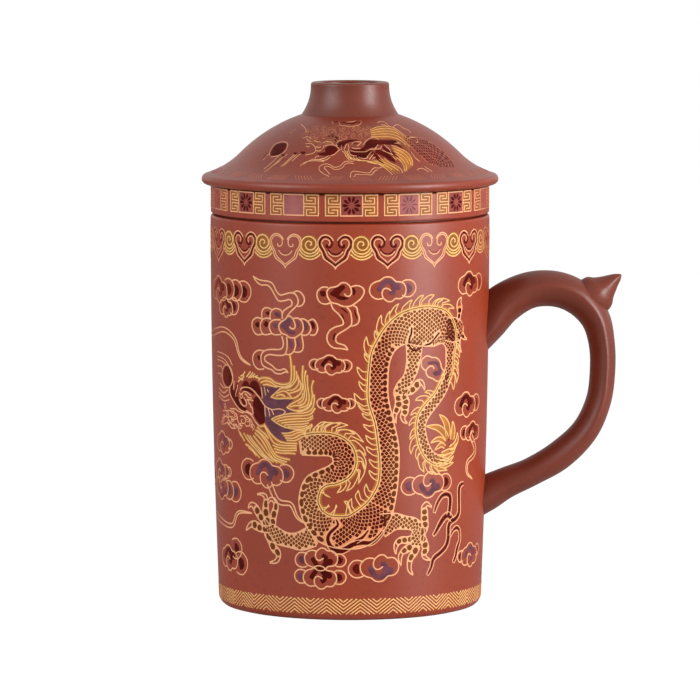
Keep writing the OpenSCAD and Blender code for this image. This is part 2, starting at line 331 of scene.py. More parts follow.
def lid_outline():
    """Closed outline of the lid: underside hollow, seat, brim, upper curve and the flat under the knob."""
    g = bpy.context.scene.lid_sizes
    r = g.brim_t / 2
    under = dome_curve(g.thick)
    under = under[under[:, 0] < g.flange_r][::-1]
    top = dome_curve()
    return np.concatenate([
        [[0, KNOB_Z - g.thick]], under, [[g.flange_r, under[-1, 1]], [g.flange_r, COLLAR_TOP]],
        arc(LID_R - r, COLLAR_TOP + r, r, -90, 90 - g.brim_slope), top[1:], [[0, KNOB_Z]]])


def knob_outline():
    """Closed outline of the hollow knob: flared side, rounded rim and straight bore."""
    g = bpy.context.scene.lid_sizes
    e, bore = g.knob_wall / 4, g.knob_top_r - g.knob_wall
    u = np.linspace(0, 1, 24)[:-1]
    side = np.stack([g.knob_top_r + (KNOB_R - g.knob_top_r) * (1 - u) ** g.knob_flare,
                     KNOB_Z + (KNOB_TOP - e - KNOB_Z) * u], -1)
    return np.concatenate([
        side, arc(g.knob_top_r - e, KNOB_TOP - e, e, 0, 90), arc(bore + e, KNOB_TOP - e, e, 90, 180),
        arc(bore - e, KNOB_Z + e, e, 0, -90)])


# ------------------------------------------------------------------ meshes

class Shell:
    """Gathers grids of points and makes one piece of them."""

    def __init__(self):
        self.points, self.quads, self.count = [], [], 0

    def grid(self, points, round_rows=False, round_columns=False):
        """Adds one grid, or as many as there are leading indices, of rows x columns points joined by quads.
        A round direction joins its last line of points to its first."""
        points = np.asarray(points, float)
        rows, columns = points.shape[-3:-1]
        copies = points.reshape(-1, rows * columns, 3)
        i = np.arange(rows if round_rows else rows - 1)[:, None]
        j = np.arange(columns if round_columns else columns - 1)[None, :]
        ahead, beside = (i + 1) % rows * columns, (j + 1) % columns
        quads = np.stack(np.broadcast_arrays(i * columns + j, i * columns + beside, ahead + beside, ahead + j), -1)
        first = self.count + np.arange(len(copies)) * rows * columns
        self.quads.append((quads.reshape(1, -1, 4) + first[:, None, None]).reshape(-1, 4))
        self.points.append(copies.reshape(-1, 3))
        self.count += copies.shape[0] * rows * columns

    def piece(self, name, body, slot, material, replaces=(), merge=False, crease=40.0):
        """Makes the object, with doubles at poles merged where asked, and rides it on its body."""
        points, quads = np.concatenate(self.points) * MM, np.concatenate(self.quads)
        mesh = bpy.data.meshes.new(name)
        mesh.vertices.add(len(points))
        mesh.vertices.foreach_set("co", points.ravel())
        mesh.loops.add(quads.size)
        mesh.loops.foreach_set("vertex_index", quads.ravel())
        mesh.polygons.add(len(quads))
        mesh.polygons.foreach_set("loop_start", np.arange(0, quads.size, 4))
        mesh.update(calc_edges=True)
        if merge:
            work = bmesh.new()
            work.from_mesh(mesh)
            bmesh.ops.remove_doubles(work, verts=work.verts, dist=1e-7)
            work.to_mesh(mesh)
            work.free()
        mesh.shade_smooth()
        mesh.set_sharp_from_angle(angle=math.radians(crease))
        mesh.materials.append(material)
        obj = bpy.data.objects.new(name, mesh)
        bpy.context.scene.collection.objects.link(obj)
        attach(obj, body)
        if replaces:
            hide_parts(*replaces)
        return obj


def turned(outline, segments=288):
    """Closed outline of radius and height turned about Z: (r cos a, r sin a, z)."""
    turn = np.linspace(0, TAU, segments, endpoint=False)
    r, z = outline[:, 0][:, None], outline[:, 1][:, None]
    return np.stack(np.broadcast_arrays(r * np.cos(turn), r * np.sin(turn), z), -1)


def add_turned(name, body, outline, node, look="clay"):
    """A piece turned from its outline that takes the place of its CAD node."""
    shell = Shell()
    shell.grid(turned(outline), round_rows=outline[0, 0] > 1e-6, round_columns=True)
    return shell.piece(name, body, "clay", finish(look), [node], merge=True)


# ------------------------------------------------------------------ handle

# Centre line and section: reach and height as shares, depth and width as shares of the grip's, and
# the place of the ridge as a share of the depth.
HANDLE_ROWS = [
    (-0.200, 0.850, 1.45, 1.36, 0.26), (-0.035, 0.985, 1.66, 1.36, 0.32), (0.130, 1.095, 1.58, 1.28, 0.44),
    (0.350, 1.170, 1.44, 1.20, 0.54), (0.580, 1.178, 1.40, 1.14, 0.60), (0.780, 1.125, 1.34, 1.10, 0.62),
    (0.930, 1.012, 1.17, 1.05, 0.62), (0.990, 0.870, 1.03, 1.00, 0.62), (1.000, 0.710, 1.00, 1.00, 0.62),
    (0.965, 0.530, 1.00, 1.00, 0.62), (0.845, 0.355, 1.07, 1.00, 0.62), (0.625, 0.212, 1.16, 1.00, 0.62),
    (0.375, 0.115, 1.12, 1.00, 0.62), (0.150, 0.050, 1.23, 1.08, 0.60), (-0.020, -0.010, 1.39, 1.25, 0.58),
    (-0.170, -0.075, 1.30, 1.36, 0.56)]
CORNER_ROW = 5
# Centre line of the thumb rest from that corner, then half its depth and width, as shares of its length.
THUMB_ROWS = [(0.10, -0.10, 0.41, 0.37), (0.40, 0.10, 0.40, 0.33), (0.55, 0.22, 0.265, 0.25),
              (0.70, 0.345, 0.155, 0.17), (0.80, 0.42, 0.09, 0.10), (0.87, 0.475, 0.02, 0.03)]


def kite(rows, number=72, power=1.62):
    """Sections along a line of (x, z, depth, width, ridge): each is an ellipse with its power lowered so that
    it comes near a kite, |out|^p + |side|^p = 1, with its widest place a share of the way up its depth."""
    step = np.gradient(rows[:, :2], axis=0)
    step /= np.linalg.norm(step, axis=1, keepdims=True)
    a = np.linspace(0, TAU, number, endpoint=False)[None]
    x, z, depth, width, ridge = (rows[:, k, None] for k in range(5))
    across, side = (np.sign(v) * np.abs(v) ** (2 / power) for v in (np.cos(a), np.sin(a)))
    out = across * np.where(across > 0, 1 - ridge, ridge) * depth + (ridge - 0.5) * depth
    return np.stack([x - step[:, 1:] * out, side * width / 2, z + step[:, :1] * out], -1)


def capped(grid):
    """The grid with a row at each end drawn in to that end's middle."""
    ends = [grid[k].mean(0) + (grid[k] - grid[k].mean(0)) * 0.001 for k in (0, -1)]
    return np.concatenate([ends[:1], grid, ends[1:]])


def handle_parts():
    """Grids of the handle and its thumb rest. The handle's roots are cut off just under the wall's face."""
    g = bpy.context.scene.handle_sizes
    rows = curve(HANDLE_ROWS, 8) * [g.reach, g.high - g.low, g.depth, g.width, 1] + [RIM_R, g.low, 0, 0, 0]
    grip = capped(kite(rows))
    face = np.sqrt(np.maximum((wall_r(grip[..., 2]) - g.sunk) ** 2 - grip[..., 1] ** 2, 0))
    grip[..., 0] = np.maximum(grip[..., 0], face)
    corner = rows[CORNER_ROW * 8]
    rest = curve(THUMB_ROWS, 8) * g.thumb * [1, 1, 2, 2] + [corner[0], corner[1], 0, 0]
    rest = np.concatenate([rest, np.full((len(rest), 1), 0.5)], 1)
    return grip, capped(kite(rest, 48))


# ------------------------------------------------------------------ enamel drawn on a face

def on_wall(s, z, rise):
    """Wraps the mug: s millimetres round from the front is the angle s / rim radius, and the radius is the
    wall's own at that height, or the foot's round edge below it."""
    foot = bpy.context.scene.mug_sizes.foot_round
    below = np.clip(foot - z, 0, foot)
    r = wall_r(np.maximum(z, foot)) - foot + np.sqrt(foot**2 - below**2) + rise
    return np.stack([r * np.sin(s / RIM_R), -r * np.cos(s / RIM_R), z], -1)


def on_collar(s, z, rise):
    """Wraps the collar, a plain cylinder, in the same way."""
    r = COLLAR_R + rise
    return np.stack([r * np.sin(s / RIM_R), -r * np.cos(s / RIM_R), z], -1)


# Radius at which the lid is drawn true to its width.
LID_ROUND = 27.0


def on_lid(s, v, rise):
    """Wraps the lid: the angle is s / LID_ROUND, the radius is -v, and the height is the lid's upper curve's."""
    top = dome_curve()[::-1]
    r = -v
    z = np.interp(r, top[:, 0], top[:, 1]) + rise
    return np.stack([r * np.sin(s / LID_ROUND), -r * np.cos(s / LID_ROUND), z], -1)


# Sections of a stroke: each point's share of its width and of its height. Its edges lie in the clay.
RIDGE = np.array([(0.5, -0.5), (0.3, 1), (-0.3, 1), (-0.5, -0.5)])
BRUSH = np.array([(0.5, -0.5), (0.44, 1), (0.15, 1), (-0.15, 1), (-0.44, 1), (-0.5, -0.5)])
BAND = np.array([(0.5, -0.5)] + [(0.49 - 0.98 * k / 8, 1) for k in range(9)] + [(-0.5, -0.5)])
# How far an open stroke's end runs out, and its width there, as shares of the stroke's width.
END_OUT, END_WIDE = 0.3, 0.6
THINNEST = 0.05
# Rings of a filled shape, and of a small one, as shares of the way from its middle to its outline.
FILL_RINGS, CELL_RINGS = (1, 0.95, 0.65, 0.33, 0), (1, 0.85, 0)


class Ink(Shell):
    """A shell drawn flat, in millimetres round and up, and wrapped on a face by skin(s, z, rise)."""

    def __init__(self, skin, rise, width=0.0):
        super().__init__()
        self.skin, self.rise, self.width = skin, rise, width

    def strokes(self, paths, width=None, closed=False, section=RIDGE):
        """Low ridges along one path or many of equal length: the section's shares of the width are carried
        along the path and mitred at its corners, and each open end runs down into the clay."""
        paths = np.asarray(paths, float)[..., :2]
        width = np.broadcast_to(np.asarray(self.width if width is None else width, float), paths.shape[:-1])
        up = np.ones(paths.shape[-2])
        if not closed:
            ends = []
            for k, near in ((0, 1), (-1, -2)):
                out = paths[..., k, :] - paths[..., near, :]
                out /= np.maximum(np.linalg.norm(out, axis=-1, keepdims=True), 1e-9)
                ends.append((paths[..., k, :] + out * END_OUT * width[..., k, None])[..., None, :])
            paths = np.concatenate([ends[0], paths, ends[1]], -2)
            width = np.concatenate([width[..., :1] * END_WIDE, width, width[..., -1:] * END_WIDE], -1)
            up = np.concatenate([[0], up, [0]])
        side = left_of(paths, closed)
        flat = paths[..., None, :] + side[..., None, :] * (width[..., None] * section[:, 0])[..., None]
        rise = self.rise * np.where(up[:, None] > 0, section[:, 1], -0.5)
        self.grid(self.skin(flat[..., 0], flat[..., 1], rise), round_rows=closed)

    def line(self, points, width=None, step=0.6, closed=False, section=RIDGE, smooth=True):
        """One ridge along a smooth curve through the points. A third number in a point is its width."""
        path = np.asarray(points, float)
        if smooth:
            path = curve(path, 10, closed)
        if closed:
            path = even(np.concatenate([path, path[:1]]), step)[:-1]
        else:
            path = even(path, step)
        width = np.maximum(path[:, 2], THINNEST) if path.shape[1] > 2 else width
        self.strokes(path, width, closed, section)

    def lines(self, many, **how):
        for points in many:
            self.line(points, **how)

    def brush(self, points, **how):
        """A flat stroke whose width is each point's third number."""
        self.line(points, section=BRUSH, **how)

    def fill(self, outline, smooth=True):
        """A filled shape: its outline drawn in towards its middle ring by ring, with its edge in the clay."""
        edge = curve(outline, 6, True) if smooth else np.asarray(outline, float)
        if (edge[:, 0] * np.roll(edge[:, 1], -1) - np.roll(edge[:, 0], -1) * edge[:, 1]).sum() < 0:
            edge = edge[::-1]
        self.cells(edge, FILL_RINGS)

    def cells(self, outlines, shares=CELL_RINGS):
        """Filled shapes, one or many at once, by the same rings. Their outlines run anticlockwise."""
        middle = outlines.mean(-2, keepdims=True)
        flat = middle[..., None, :, :] + (outlines - middle)[..., None, :, :] * np.array(shares)[:, None, None]
        rise = self.rise * np.where(np.array(shares) == 1, -0.5, 1)[:, None]
        self.grid(self.skin(flat[..., 0], flat[..., 1], rise), round_columns=True)


def clear_of(places, lines):
    """Whether each place keeps off every point of the lines by that point's third number."""
    free = np.ones(places.shape[:-1], bool)
    for line in lines:
        away = np.linalg.norm(places[..., None, :] - line[:, :2], axis=-1)
        free &= (away > line[:, 2]).all(-1)
    return free


# Six-sided scales that tile, in shares of their pitch: the corners, rows along the body and places across it.
SCALE_CORNERS = np.array([(0.62, 0), (0.18, 0.6), (-0.18, 0.6), (-0.62, 0), (-0.18, -0.6), (0.18, -0.6)])
SCALE_ALONG, SCALE_ACROSS = 0.8, 1.2
# How far a scale strays from its place, and how much its size varies.
STRAY, VARY = 0.04, 0.05
# Half of an eight-sided oval that is to measure 1 across its flat sides.
OVAL = 0.54
# Spacing of a strip's own points, of its edges' and of its ground's.
STRIP_STEP, EDGE_STEP, GROUND_STEP = 0.25, 0.7, 0.75
# A flame's foot: how far back towards the neck each point stands, and how far out, in shares of its height.
FLAME_BACK, FLAME_OUT = np.array([1.15, 0.95, 0.42, 0.42, 0.4]), np.array([0, 0.5, 0.92, 0.45, 0])


class Strip:
    """A long body laid along a curved centre line, with places on it given as length and offset to its left."""

    def __init__(self, rows):
        path = even(curve(rows, 16), STRIP_STEP)
        self.side = left_of(path[:, :2])
        self.path, self.half = path[:, :2], path[:, 2]
        self.at = np.arange(len(path)) * STRIP_STEP
        self.length = self.at[-1]

    def width(self, along):
        return np.interp(along, self.at, self.half)

    def place(self, along, offset):
        """The point offset from the centre line along its left-hand normal."""
        return np.stack([np.interp(along, self.at, self.path[:, k])
                         + offset * np.interp(along, self.at, self.side[:, k]) for k in (0, 1)], -1)

    def edge(self, share, inset=0.0):
        """The line a share of the half width out from the centre line, drawn in by an inset."""
        along = np.arange(0, self.length, EDGE_STEP)
        return self.place(along, self.width(along) * share - inset)

    def ground(self, start=0.0, end=None):
        """The centre line with its whole width as a third number."""
        along = np.linspace(start, self.length if end is None else end, 2 + int(self.length / GROUND_STEP))
        return np.column_stack([self.place(along, 0 * along), 2 * self.width(along)])

    def ovals(self, along, offset, length, width):
        """Rounded outlines at places on the body, as long along it and as wide across it as asked."""
        turn = np.radians(np.arange(0, 360, 45) + 22.5)
        along, offset, length, width = (x[..., None] for x in np.broadcast_arrays(along, offset, length, width))
        return self.place(along + length * OVAL * np.cos(turn), offset + width * OVAL * np.sin(turn))

    def scales(self, pitch, share, top=0.7, low=0.7, start=0.0, end=None, clear=()):
        """Staggered rows of six-sided scales, each a share of its place's size, on every place of a grid of length
        and offset that the body is wide enough for and that is clear of the given lines (each point with the room
        it needs). Each scale is moved and sized a little by chance, with the same chance each time."""
        end = self.length if end is None else end
        rows = np.arange(start + pitch * 0.4, end - pitch * 0.2, pitch * SCALE_ALONG)
        along, off = np.meshgrid(rows, np.arange(-8, 9) * pitch * SCALE_ACROSS, indexing="ij")
        off = off + (np.arange(len(rows)) % 2)[:, None] * pitch * SCALE_ACROSS / 2
        half = self.width(along)
        keep = (off < half - top) & (off > -half + low) & clear_of(self.place(along, off), clear)
        chance = np.random.default_rng(4).uniform(-1, 1, (4, *along.shape, 1))[:, keep]
        corners = SCALE_CORNERS * pitch * share
        return self.place(along[keep][:, None] + STRAY * pitch * chance[0] + corners[:, 0] * (1 + VARY * chance[2]),
                          off[keep][:, None] + STRAY * pitch * chance[1] + corners[:, 1] * (1 + VARY * chance[3]))

    def thorn(self, tip, side=1.0):
        """Outline of a flame whose foot stands on the body's edge, with its tip turned towards the tail."""
        away = np.linalg.norm(self.place(self.at, self.half * side) - tip, axis=1)
        k = away.argmin()
        high = away[k]
        foot = np.maximum(self.at[k] - high * FLAME_BACK, 0)
        p = self.place(foot, side * (self.width(foot) + high * FLAME_OUT))
        return np.concatenate([curve([*p[:3], tip], 5), p[3:]])


def locks(first, last, number):
    """Strands between two boundary curves: each is a mix of them, with its tip drawn back in turn."""
    t = np.linspace(0, 1, max(len(first), len(last)))
    first, last = (np.stack([np.interp(t, np.linspace(0, 1, len(p)), p[:, k]) for k in (0, 1)], -1)
                   for p in (np.array(first), np.array(last)))
    strands = []
    for k in range(number):
        share = k / (number - 1)
        strand = even(curve(first * (1 - share) + last * share, 10), 0.5)
        strands.append(strand[:max(4, int((1.0 - 0.22 * (k % 3) / 2) * len(strand)))])
    return strands


# ------------------------------------------------------------------ materials

# The ranges that noise of one or two octaves fills, and how rough enamel is.
FINE, POOL = (0.3, 0.7), (0.35, 0.68)
ENAMEL_ROUGH = (0.4, 0.55)
# Millimetres out from the middle between which the enamel fades into the clay's colour at the flanks, a painted sheen
# of the glancing reflections there, and how far it fades.
FLANK_SHEEN, FLANK_SHEEN_MOST = (32, 37), 0.7


class Socket:
    """An output socket that takes part in sums: each operator adds the Math node of its name."""

    def __init__(self, socket):
        self.socket = socket

    def node(self, kind, settings=None, values=None, output=0):
        """Adds a node beside this one: its type, its settings, then values or links for its inputs."""
        tree = self.socket.id_data
        made = tree.nodes.new(kind)
        for key, value in (settings or {}).items():
            setattr(made, key, value)
        for key, value in (values or {}).items():
            if isinstance(value, Socket):
                tree.links.new(value.socket, made.inputs[key])
            else:
                made.inputs[key].default_value = value
        return Socket(made.outputs[output])

    def math(self, operation, *others):
        return self.node("ShaderNodeMath", {"operation": operation}, dict(enumerate((self, *others))))

    def __add__(self, other):
        return self.math("ADD", other)

    def __mul__(self, other):
        return self.math("MULTIPLY", other)

    def __sub__(self, other):
        return self.math("SUBTRACT", other)

    def __rsub__(self, other):
        return (self * -1.0) + other

    __radd__, __rmul__ = __add__, __mul__

    def between(self, low, high, new_low=0.0, new_high=1.0):
        """The value with its range moved to a new one and kept inside it."""
        values = {"From Min": low, "From Max": high, "To Min": new_low, "To Max": new_high, "Value": self}
        return self.node("ShaderNodeMapRange", {"clamp": True}, values)

    def noise(self, across, detail=3.0, rough=0.5):
        """Noise whose features are about as many millimetres across as asked, on these coordinates."""
        values = {"Vector": self, "Scale": 1 / (across * MM), "Detail": detail, "Roughness": rough}
        return self.node("ShaderNodeTexNoise", None, values)

    def shade(self, low, high):
        """Mixes two colours by this value."""
        low, high = ((*c, 1) if isinstance(c, tuple) else c for c in (low, high))
        return self.node("ShaderNodeMix", {"data_type": "RGBA"}, {0: self, 6: low, 7: high}, 2)


def dimmed(name, share=1.0):
    """A colour that the user has set, or a share of it."""
    return tuple(v * share for v in getattr(bpy.context.scene.mug_finish, name))


def material(name, slots):
    """The material of that name, made once: slots(place) gives its values and links by socket name."""
    if name in bpy.data.materials:
        return bpy.data.materials[name]
    made = bpy.data.materials.new(name)
    made.use_nodes = True
    tree = made.node_tree
    shader = tree.nodes["Principled BSDF"]
    place = Socket(tree.nodes.new("ShaderNodeTexCoord").outputs["Object"])
    for key, value in slots(place).items():
        if isinstance(value, Socket):
            tree.links.new(value.socket, shader.inputs[key])
        else:
            shader.inputs[key].default_value = value
    return made


def clay(name, dark, colour):
    """Fired clay: warm brown-red with soft clouding, fine darker grains and a faint satin tooth."""
    def slots(place):
        cloud, grain, speck = place.noise(26, 2), place.noise(0.55, 2, 0.6), place.noise(1.3, 1)
        # Dark moves the tone towards the darker colour; the lid's share is painted shade.
        tone = cloud.between(0.35, 0.65, 0.05, 0.45) + speck.between(0.60, 0.74, 0.0, 0.5) + dark
        bump = place.node("ShaderNodeBump", None, {"Strength": 0.10, "Distance": 0.0001, "Height": grain})
        return {"Base Color": tone.shade(dimmed(colour), dimmed(colour, 0.7)), "Normal": bump,
                "Roughness": grain.between(*FINE, 0.36, 0.46), "Specular IOR Level": 0.53}
    return material(name, slots)


def enamel(name, colour, low, high, metal=0.0, gloss=0.15):
    """Enamel: a colour that thins and thickens between two shares of itself, fades into the clay's colour towards the
    left and right flanks as a painted sheen of the glancing reflections there, and has a small unevenness in its gloss."""
    def slots(place):
        pool, fine = place.noise(3, 2), place.noise(0.4, 1)
        across = place.node("ShaderNodeSeparateXYZ", None, {0: place}).math("ABSOLUTE")
        # Painted sheen: the colour fades into the clay's towards the flanks, standing in for glancing reflections.
        flank_sheen = across.between(*(mm * MM for mm in FLANK_SHEEN), 0, FLANK_SHEEN_MOST)
        own = pool.between(*POOL).shade(dimmed(colour, low), dimmed(colour, high))
        return {"Base Color": flank_sheen.shade(own, dimmed("clay")), "Metallic": metal,
                "Roughness": fine.between(*FINE, *ENAMEL_ROUGH), "Specular IOR Level": gloss}
    return material(name, slots)


def highlighted_enamel(name, deep, pale, gloss):
    """Enamel with a painted highlight: paler where the lamps' reflections fall, on the right of the front and a little
    so on its left, with a small random unevenness of its own.
    """
    def slots(place):
        across = place.node("ShaderNodeSeparateXYZ", None, {0: place})
        right = across.between(9 * MM, 14 * MM) * across.between(27 * MM, 23 * MM)
        left = across.between(-3 * MM, -11 * MM)
        # Painted highlight: the bands on the right and left are the lamps' reflections; the noise adds the enamel's own
        # small unevenness.
        thin = right * 0.8 + left * 0.6 + place.noise(3, 2).between(*POOL, 0.0, 0.15)
        return {"Base Color": thin.shade(dimmed(deep), dimmed(pale)),
                "Roughness": place.noise(0.4, 1).between(*FINE, *ENAMEL_ROUGH), "Specular IOR Level": gloss}
    return material(name, slots)


# Each material: what makes it, its name, then for clay how much darker it is and its colour, for enamel its colour, its
# shares where thin and thick, metal and gloss, and for enamel with a painted highlight its own colour, its highlight's
# colour and gloss. The lid's darker clay and the handle's and knob's darker copy are painted shade.
MATERIALS = {
    "clay": (clay, "Fired clay", 0.0, "clay"),
    # The lid's clay is shifted darker by its share: painted shade.
    "lid_clay": (clay, "Fired clay of the lid", 0.6, "clay"),
    # The handle's and the knob's clay is a darker copy of the clay: painted shade.
    "shaded_clay": (clay, "Fired clay of the handle", 0.0, "clay_deep"),
    "inner_clay": (clay, "Fired clay inside", 0.15, "clay"),
    "gold": (enamel, "Golden enamel", "gold", 0.88, 1, 0.0, 0.4),
    "rose": (enamel, "Rose golden enamel", "rose", 0.9, 1, 0.0, 0.4),
    "maroon": (enamel, "Maroon enamel", "maroon", 0.8, 1.5, 0.0, 0.07),
    "purple": (enamel, "Purple enamel", "purple", 0.8, 1.3),
    "ochre": (enamel, "Ochre enamel", "ochre", 0.8, 1.2, 0.1, 0.4),
    "bronze": (enamel, "Bronze enamel", "bronze", 0.85, 1.15, 0.0, 0.3),
    "mauve": (enamel, "Mauve enamel", "mauve", 0.85, 1.15),
    "wine": (enamel, "Wine enamel", "wine", 0.8, 1.2),
    "copper": (enamel, "Copper enamel", "copper", 0.55, 0.75, 0.0, 0.4),
    "faint": (enamel, "Worn copper enamel", "clay_pale", 0.8, 1.2, 0.0, 0.3),
    # The net and the scales are paler where the lamps' reflections fall: painted highlight.
    "net": (highlighted_enamel, "Net enamel", "copper", "copper_pale", 0.3),
    "scale": (highlighted_enamel, "Scale enamel", "maroon", "brown", 0.06),
}


def finish(name):
    make, *values = MATERIALS[name]
    return make(*values)


# ------------------------------------------------------------------ operators

class MUG_OT_mug(bpy.types.Operator):
    """Turn the mug's body from its outline"""

    bl_idname = "mug.mug"
    bl_label = "Mug"

    def execute(self, context):
        add_turned("mug_clay", "mug", mug_outline(), "mug_body")
        return {"FINISHED"}


class MUG_OT_handle(bpy.types.Operator):
    """Carry the handle's ridged section along its line, with the thumb rest at its corner"""

    bl_idname = "mug.handle"
    bl_label = "Handle"

    def execute(self, context):
        shell = Shell()
        for part in handle_parts():
            shell.grid(part, round_columns=True)
        # The handle takes the darker copy of the clay, painted shade.
        shell.piece("handle_clay", "mug", "clay", finish("shaded_clay"), ["handle", "thumb_rest"], merge=True)
        return {"FINISHED"}


class MUG_OT_infuser(bpy.types.Operator):
    """Turn the infuser's collar and give the cup below it its clay"""

    bl_idname = "mug.infuser"
    bl_label = "Infuser"

    def execute(self, context):
        add_turned("collar_clay", "infuser", collar_outline(), "infuser_collar")
        for node in ("infuser_cup", "infuser_strainer"):
            dress(node)
        return {"FINISHED"}


class MUG_OT_lid(bpy.types.Operator):
    """Turn the lid and its hollow knob, and give the flange its clay"""

    bl_idname = "mug.lid"
    bl_label = "Lid"

    def execute(self, context):
        # The lid takes its own darkened clay, painted shade.
        add_turned("lid_clay", "lid", lid_outline(), "lid_dome", "lid_clay")
        # The knob takes the darker copy of the clay, painted shade.
        add_turned("knob_clay", "lid", knob_outline(), "knob", "shaded_clay")
        dress("lid_flange")
        return {"FINISHED"}


def dress(node):
    """Gives a CAD node that stays its clay."""
    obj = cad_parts[node]
    obj.data.materials.clear()
    obj.data.materials.append(finish("inner_clay"))


# Each lamp: its power's property, degrees to the right of the camera, height, and width by height of its face.
LAMPS = {"Right lamp": ("right_lamp", 62, 0.30, (0.30, 0.60)), "Left lamp": ("left_lamp", -55, 0.42, (0.50, 0.60))}
LAMP_AWAY, LAMP_AIM = 0.8, 0.07
SENSOR = 36.0
# The floor: half its side, its grey, then how bright and how fully it glows to the camera.
FLOOR_HALF, FLOOR_GREY, FLOOR_GLOW, FLOOR_SHARE = 4, 0.78, 1.06, 0.94


class MUG_OT_stage(bpy.types.Operator):
    """Set up the floor, the lamps, the pale surroundings and the camera"""

    bl_idname = "mug.stage"
    bl_label = "Stage"

    def execute(self, context):
        scene, g = context.scene, context.scene.mug_studio
        floor = self.floor(scene)
        lamps = [self.lamp(scene, name, getattr(g, power), *rest) for name, (power, *rest) in LAMPS.items()]
        self.surroundings(scene, g)
        camera = bpy.data.objects.new("Camera", bpy.data.cameras.new("Camera"))
        camera.data.lens, camera.data.sensor_width = g.lens, SENSOR
        camera.data.clip_start, camera.data.clip_end = 0.05, 20.0
        camera.location = (0, -g.distance, g.eye)
        camera.rotation_euler = (math.radians(90) - math.atan2(g.eye - g.aim, g.distance), 0, 0)
        scene.collection.objects.link(camera)
        scene.camera = camera
        scene.view_settings.view_transform = "Standard"
        return {"FINISHED"}

    def surroundings(self, scene, g):
        """White to the camera, and dimmer as a light and in the clay's gloss."""
        scene.world = bpy.data.worlds.new("Pale surroundings")
        scene.world.use_nodes = True
        tree = scene.world.node_tree
        sky = tree.nodes["Background"]
        path = tree.nodes.new("ShaderNodeLightPath")
        seen, gloss = (Socket(path.outputs[kind]) for kind in ("Is Camera Ray", "Is Glossy Ray"))
        strength = seen * (1 - g.sky) + gloss * (g.sheen - g.sky) + g.sky
        tree.links.new(strength.socket, sky.inputs["Strength"])
        sky.inputs["Color"].default_value = (1, 1, 1, 1)

    def floor(self, scene):
        """A wide pale floor that the camera sees as white but for the object's own shadow."""
        mesh = bpy.data.meshes.new("Floor")
        corners = [(x * FLOOR_HALF, y * FLOOR_HALF, 0) for x, y in ((-1, -1), (1, -1), (1, 1), (-1, 1))]
        mesh.from_pydata(corners, [], [(0, 1, 2, 3)])
        floor = bpy.data.objects.new("Floor", mesh)
        scene.collection.objects.link(floor)
        made = bpy.data.materials.new("Pale floor")
        made.use_nodes = True
        tree = made.node_tree
        plain = tree.nodes["Principled BSDF"]
        plain.inputs["Base Color"].default_value = (FLOOR_GREY, FLOOR_GREY, FLOOR_GREY, 1)
        plain.inputs["Roughness"].default_value = 0.9
        seen = Socket(tree.nodes.new("ShaderNodeLightPath").outputs["Is Camera Ray"])
        glow = seen.node("ShaderNodeEmission", None, {"Color": (1, 1, 1, 1), "Strength": FLOOR_GLOW})
        mixed = seen.node("ShaderNodeMixShader", None, {0: seen * FLOOR_SHARE, 1: Socket(plain.outputs[0]), 2: glow})
        tree.links.new(mixed.socket, tree.nodes["Material Output"].inputs["Surface"])
        mesh.materials.append(made)
        return floor

    def lamp(self, scene, name, power, turn, height, face):
        """A soft upright lamp at an angle to the right of the camera, turned towards the mug."""
        light = bpy.data.lights.new(name, "AREA")
        light.shape, light.size, light.size_y, light.energy = "RECTANGLE", *face, power
        lamp = bpy.data.objects.new(name, light)
        turn = math.radians(turn)
        lamp.location = (LAMP_AWAY * math.sin(turn), -LAMP_AWAY * math.cos(turn), height)
        lamp.rotation_euler = Euler((math.atan2(LAMP_AWAY, height - LAMP_AIM), 0, turn))
        scene.collection.objects.link(lamp)
        return lamp


# ------------------------------------------------------------------ borders

# Each ink: the height it takes a share of, that share, its slot, its finish, and whether the doubles in the middle
# of its filled shapes are merged. Grounds lie lowest, then the fills on them, then dark and pale lines over all.
INKS = {
    "faint": ("fill_h", 1, "gold_line", "faint", False),
    "copper": ("line_h", 0.9, "gold_line", "copper", False),
    "net": ("fill_h", 0.6, "gold_line", "net", False),
    "bronze": ("fill_h", 0.6, "gold_line", "bronze", False),
    "ochre": ("fill_h", 0.8, "gold_line", "ochre", False),
    "mauve": ("fill_h", 0.7, "purple_fill", "mauve", True),
    "wine": ("fill_h", 1, "maroon_fill", "wine", True),
    "maroon": ("fill_h", 1.1, "maroon_fill", "maroon", True),
    "scale": ("fill_h", 1.1, "maroon_fill", "scale", True),
    "purple": ("fill_h", 1, "purple_fill", "purple", True),
    "dark": ("line_h", 0.9, "maroon_fill", "maroon", False),
    "gold": ("line_h", 1.1, "gold_line", "gold", False),
    "rose": ("line_h", 1, "gold_line", "rose", False),
}


def sizes():
    return bpy.context.scene.enamel_sizes


def inks(skin, *names):
    """Empty inks by name, for one face."""
    return {name: Ink(skin, getattr(sizes(), INKS[name][0]) * INKS[name][1], sizes().line_w) for name in names}


def lay(many, prefix, body):
    """Makes a piece of each ink that has something drawn."""
    for name, ink in many.items():
        if ink.points:
            slot, look, merge = INKS[name][2:]
            ink.piece(f"{prefix}_{name}", body, slot, finish(look), merge=merge, crease=180)


def round_the_mug(number):
    """The numbers of a border's repeats, with 0 at the front, and the millimetres from one to the next."""
    return range(-(number // 2), number - number // 2), TAU * RIM_R / number


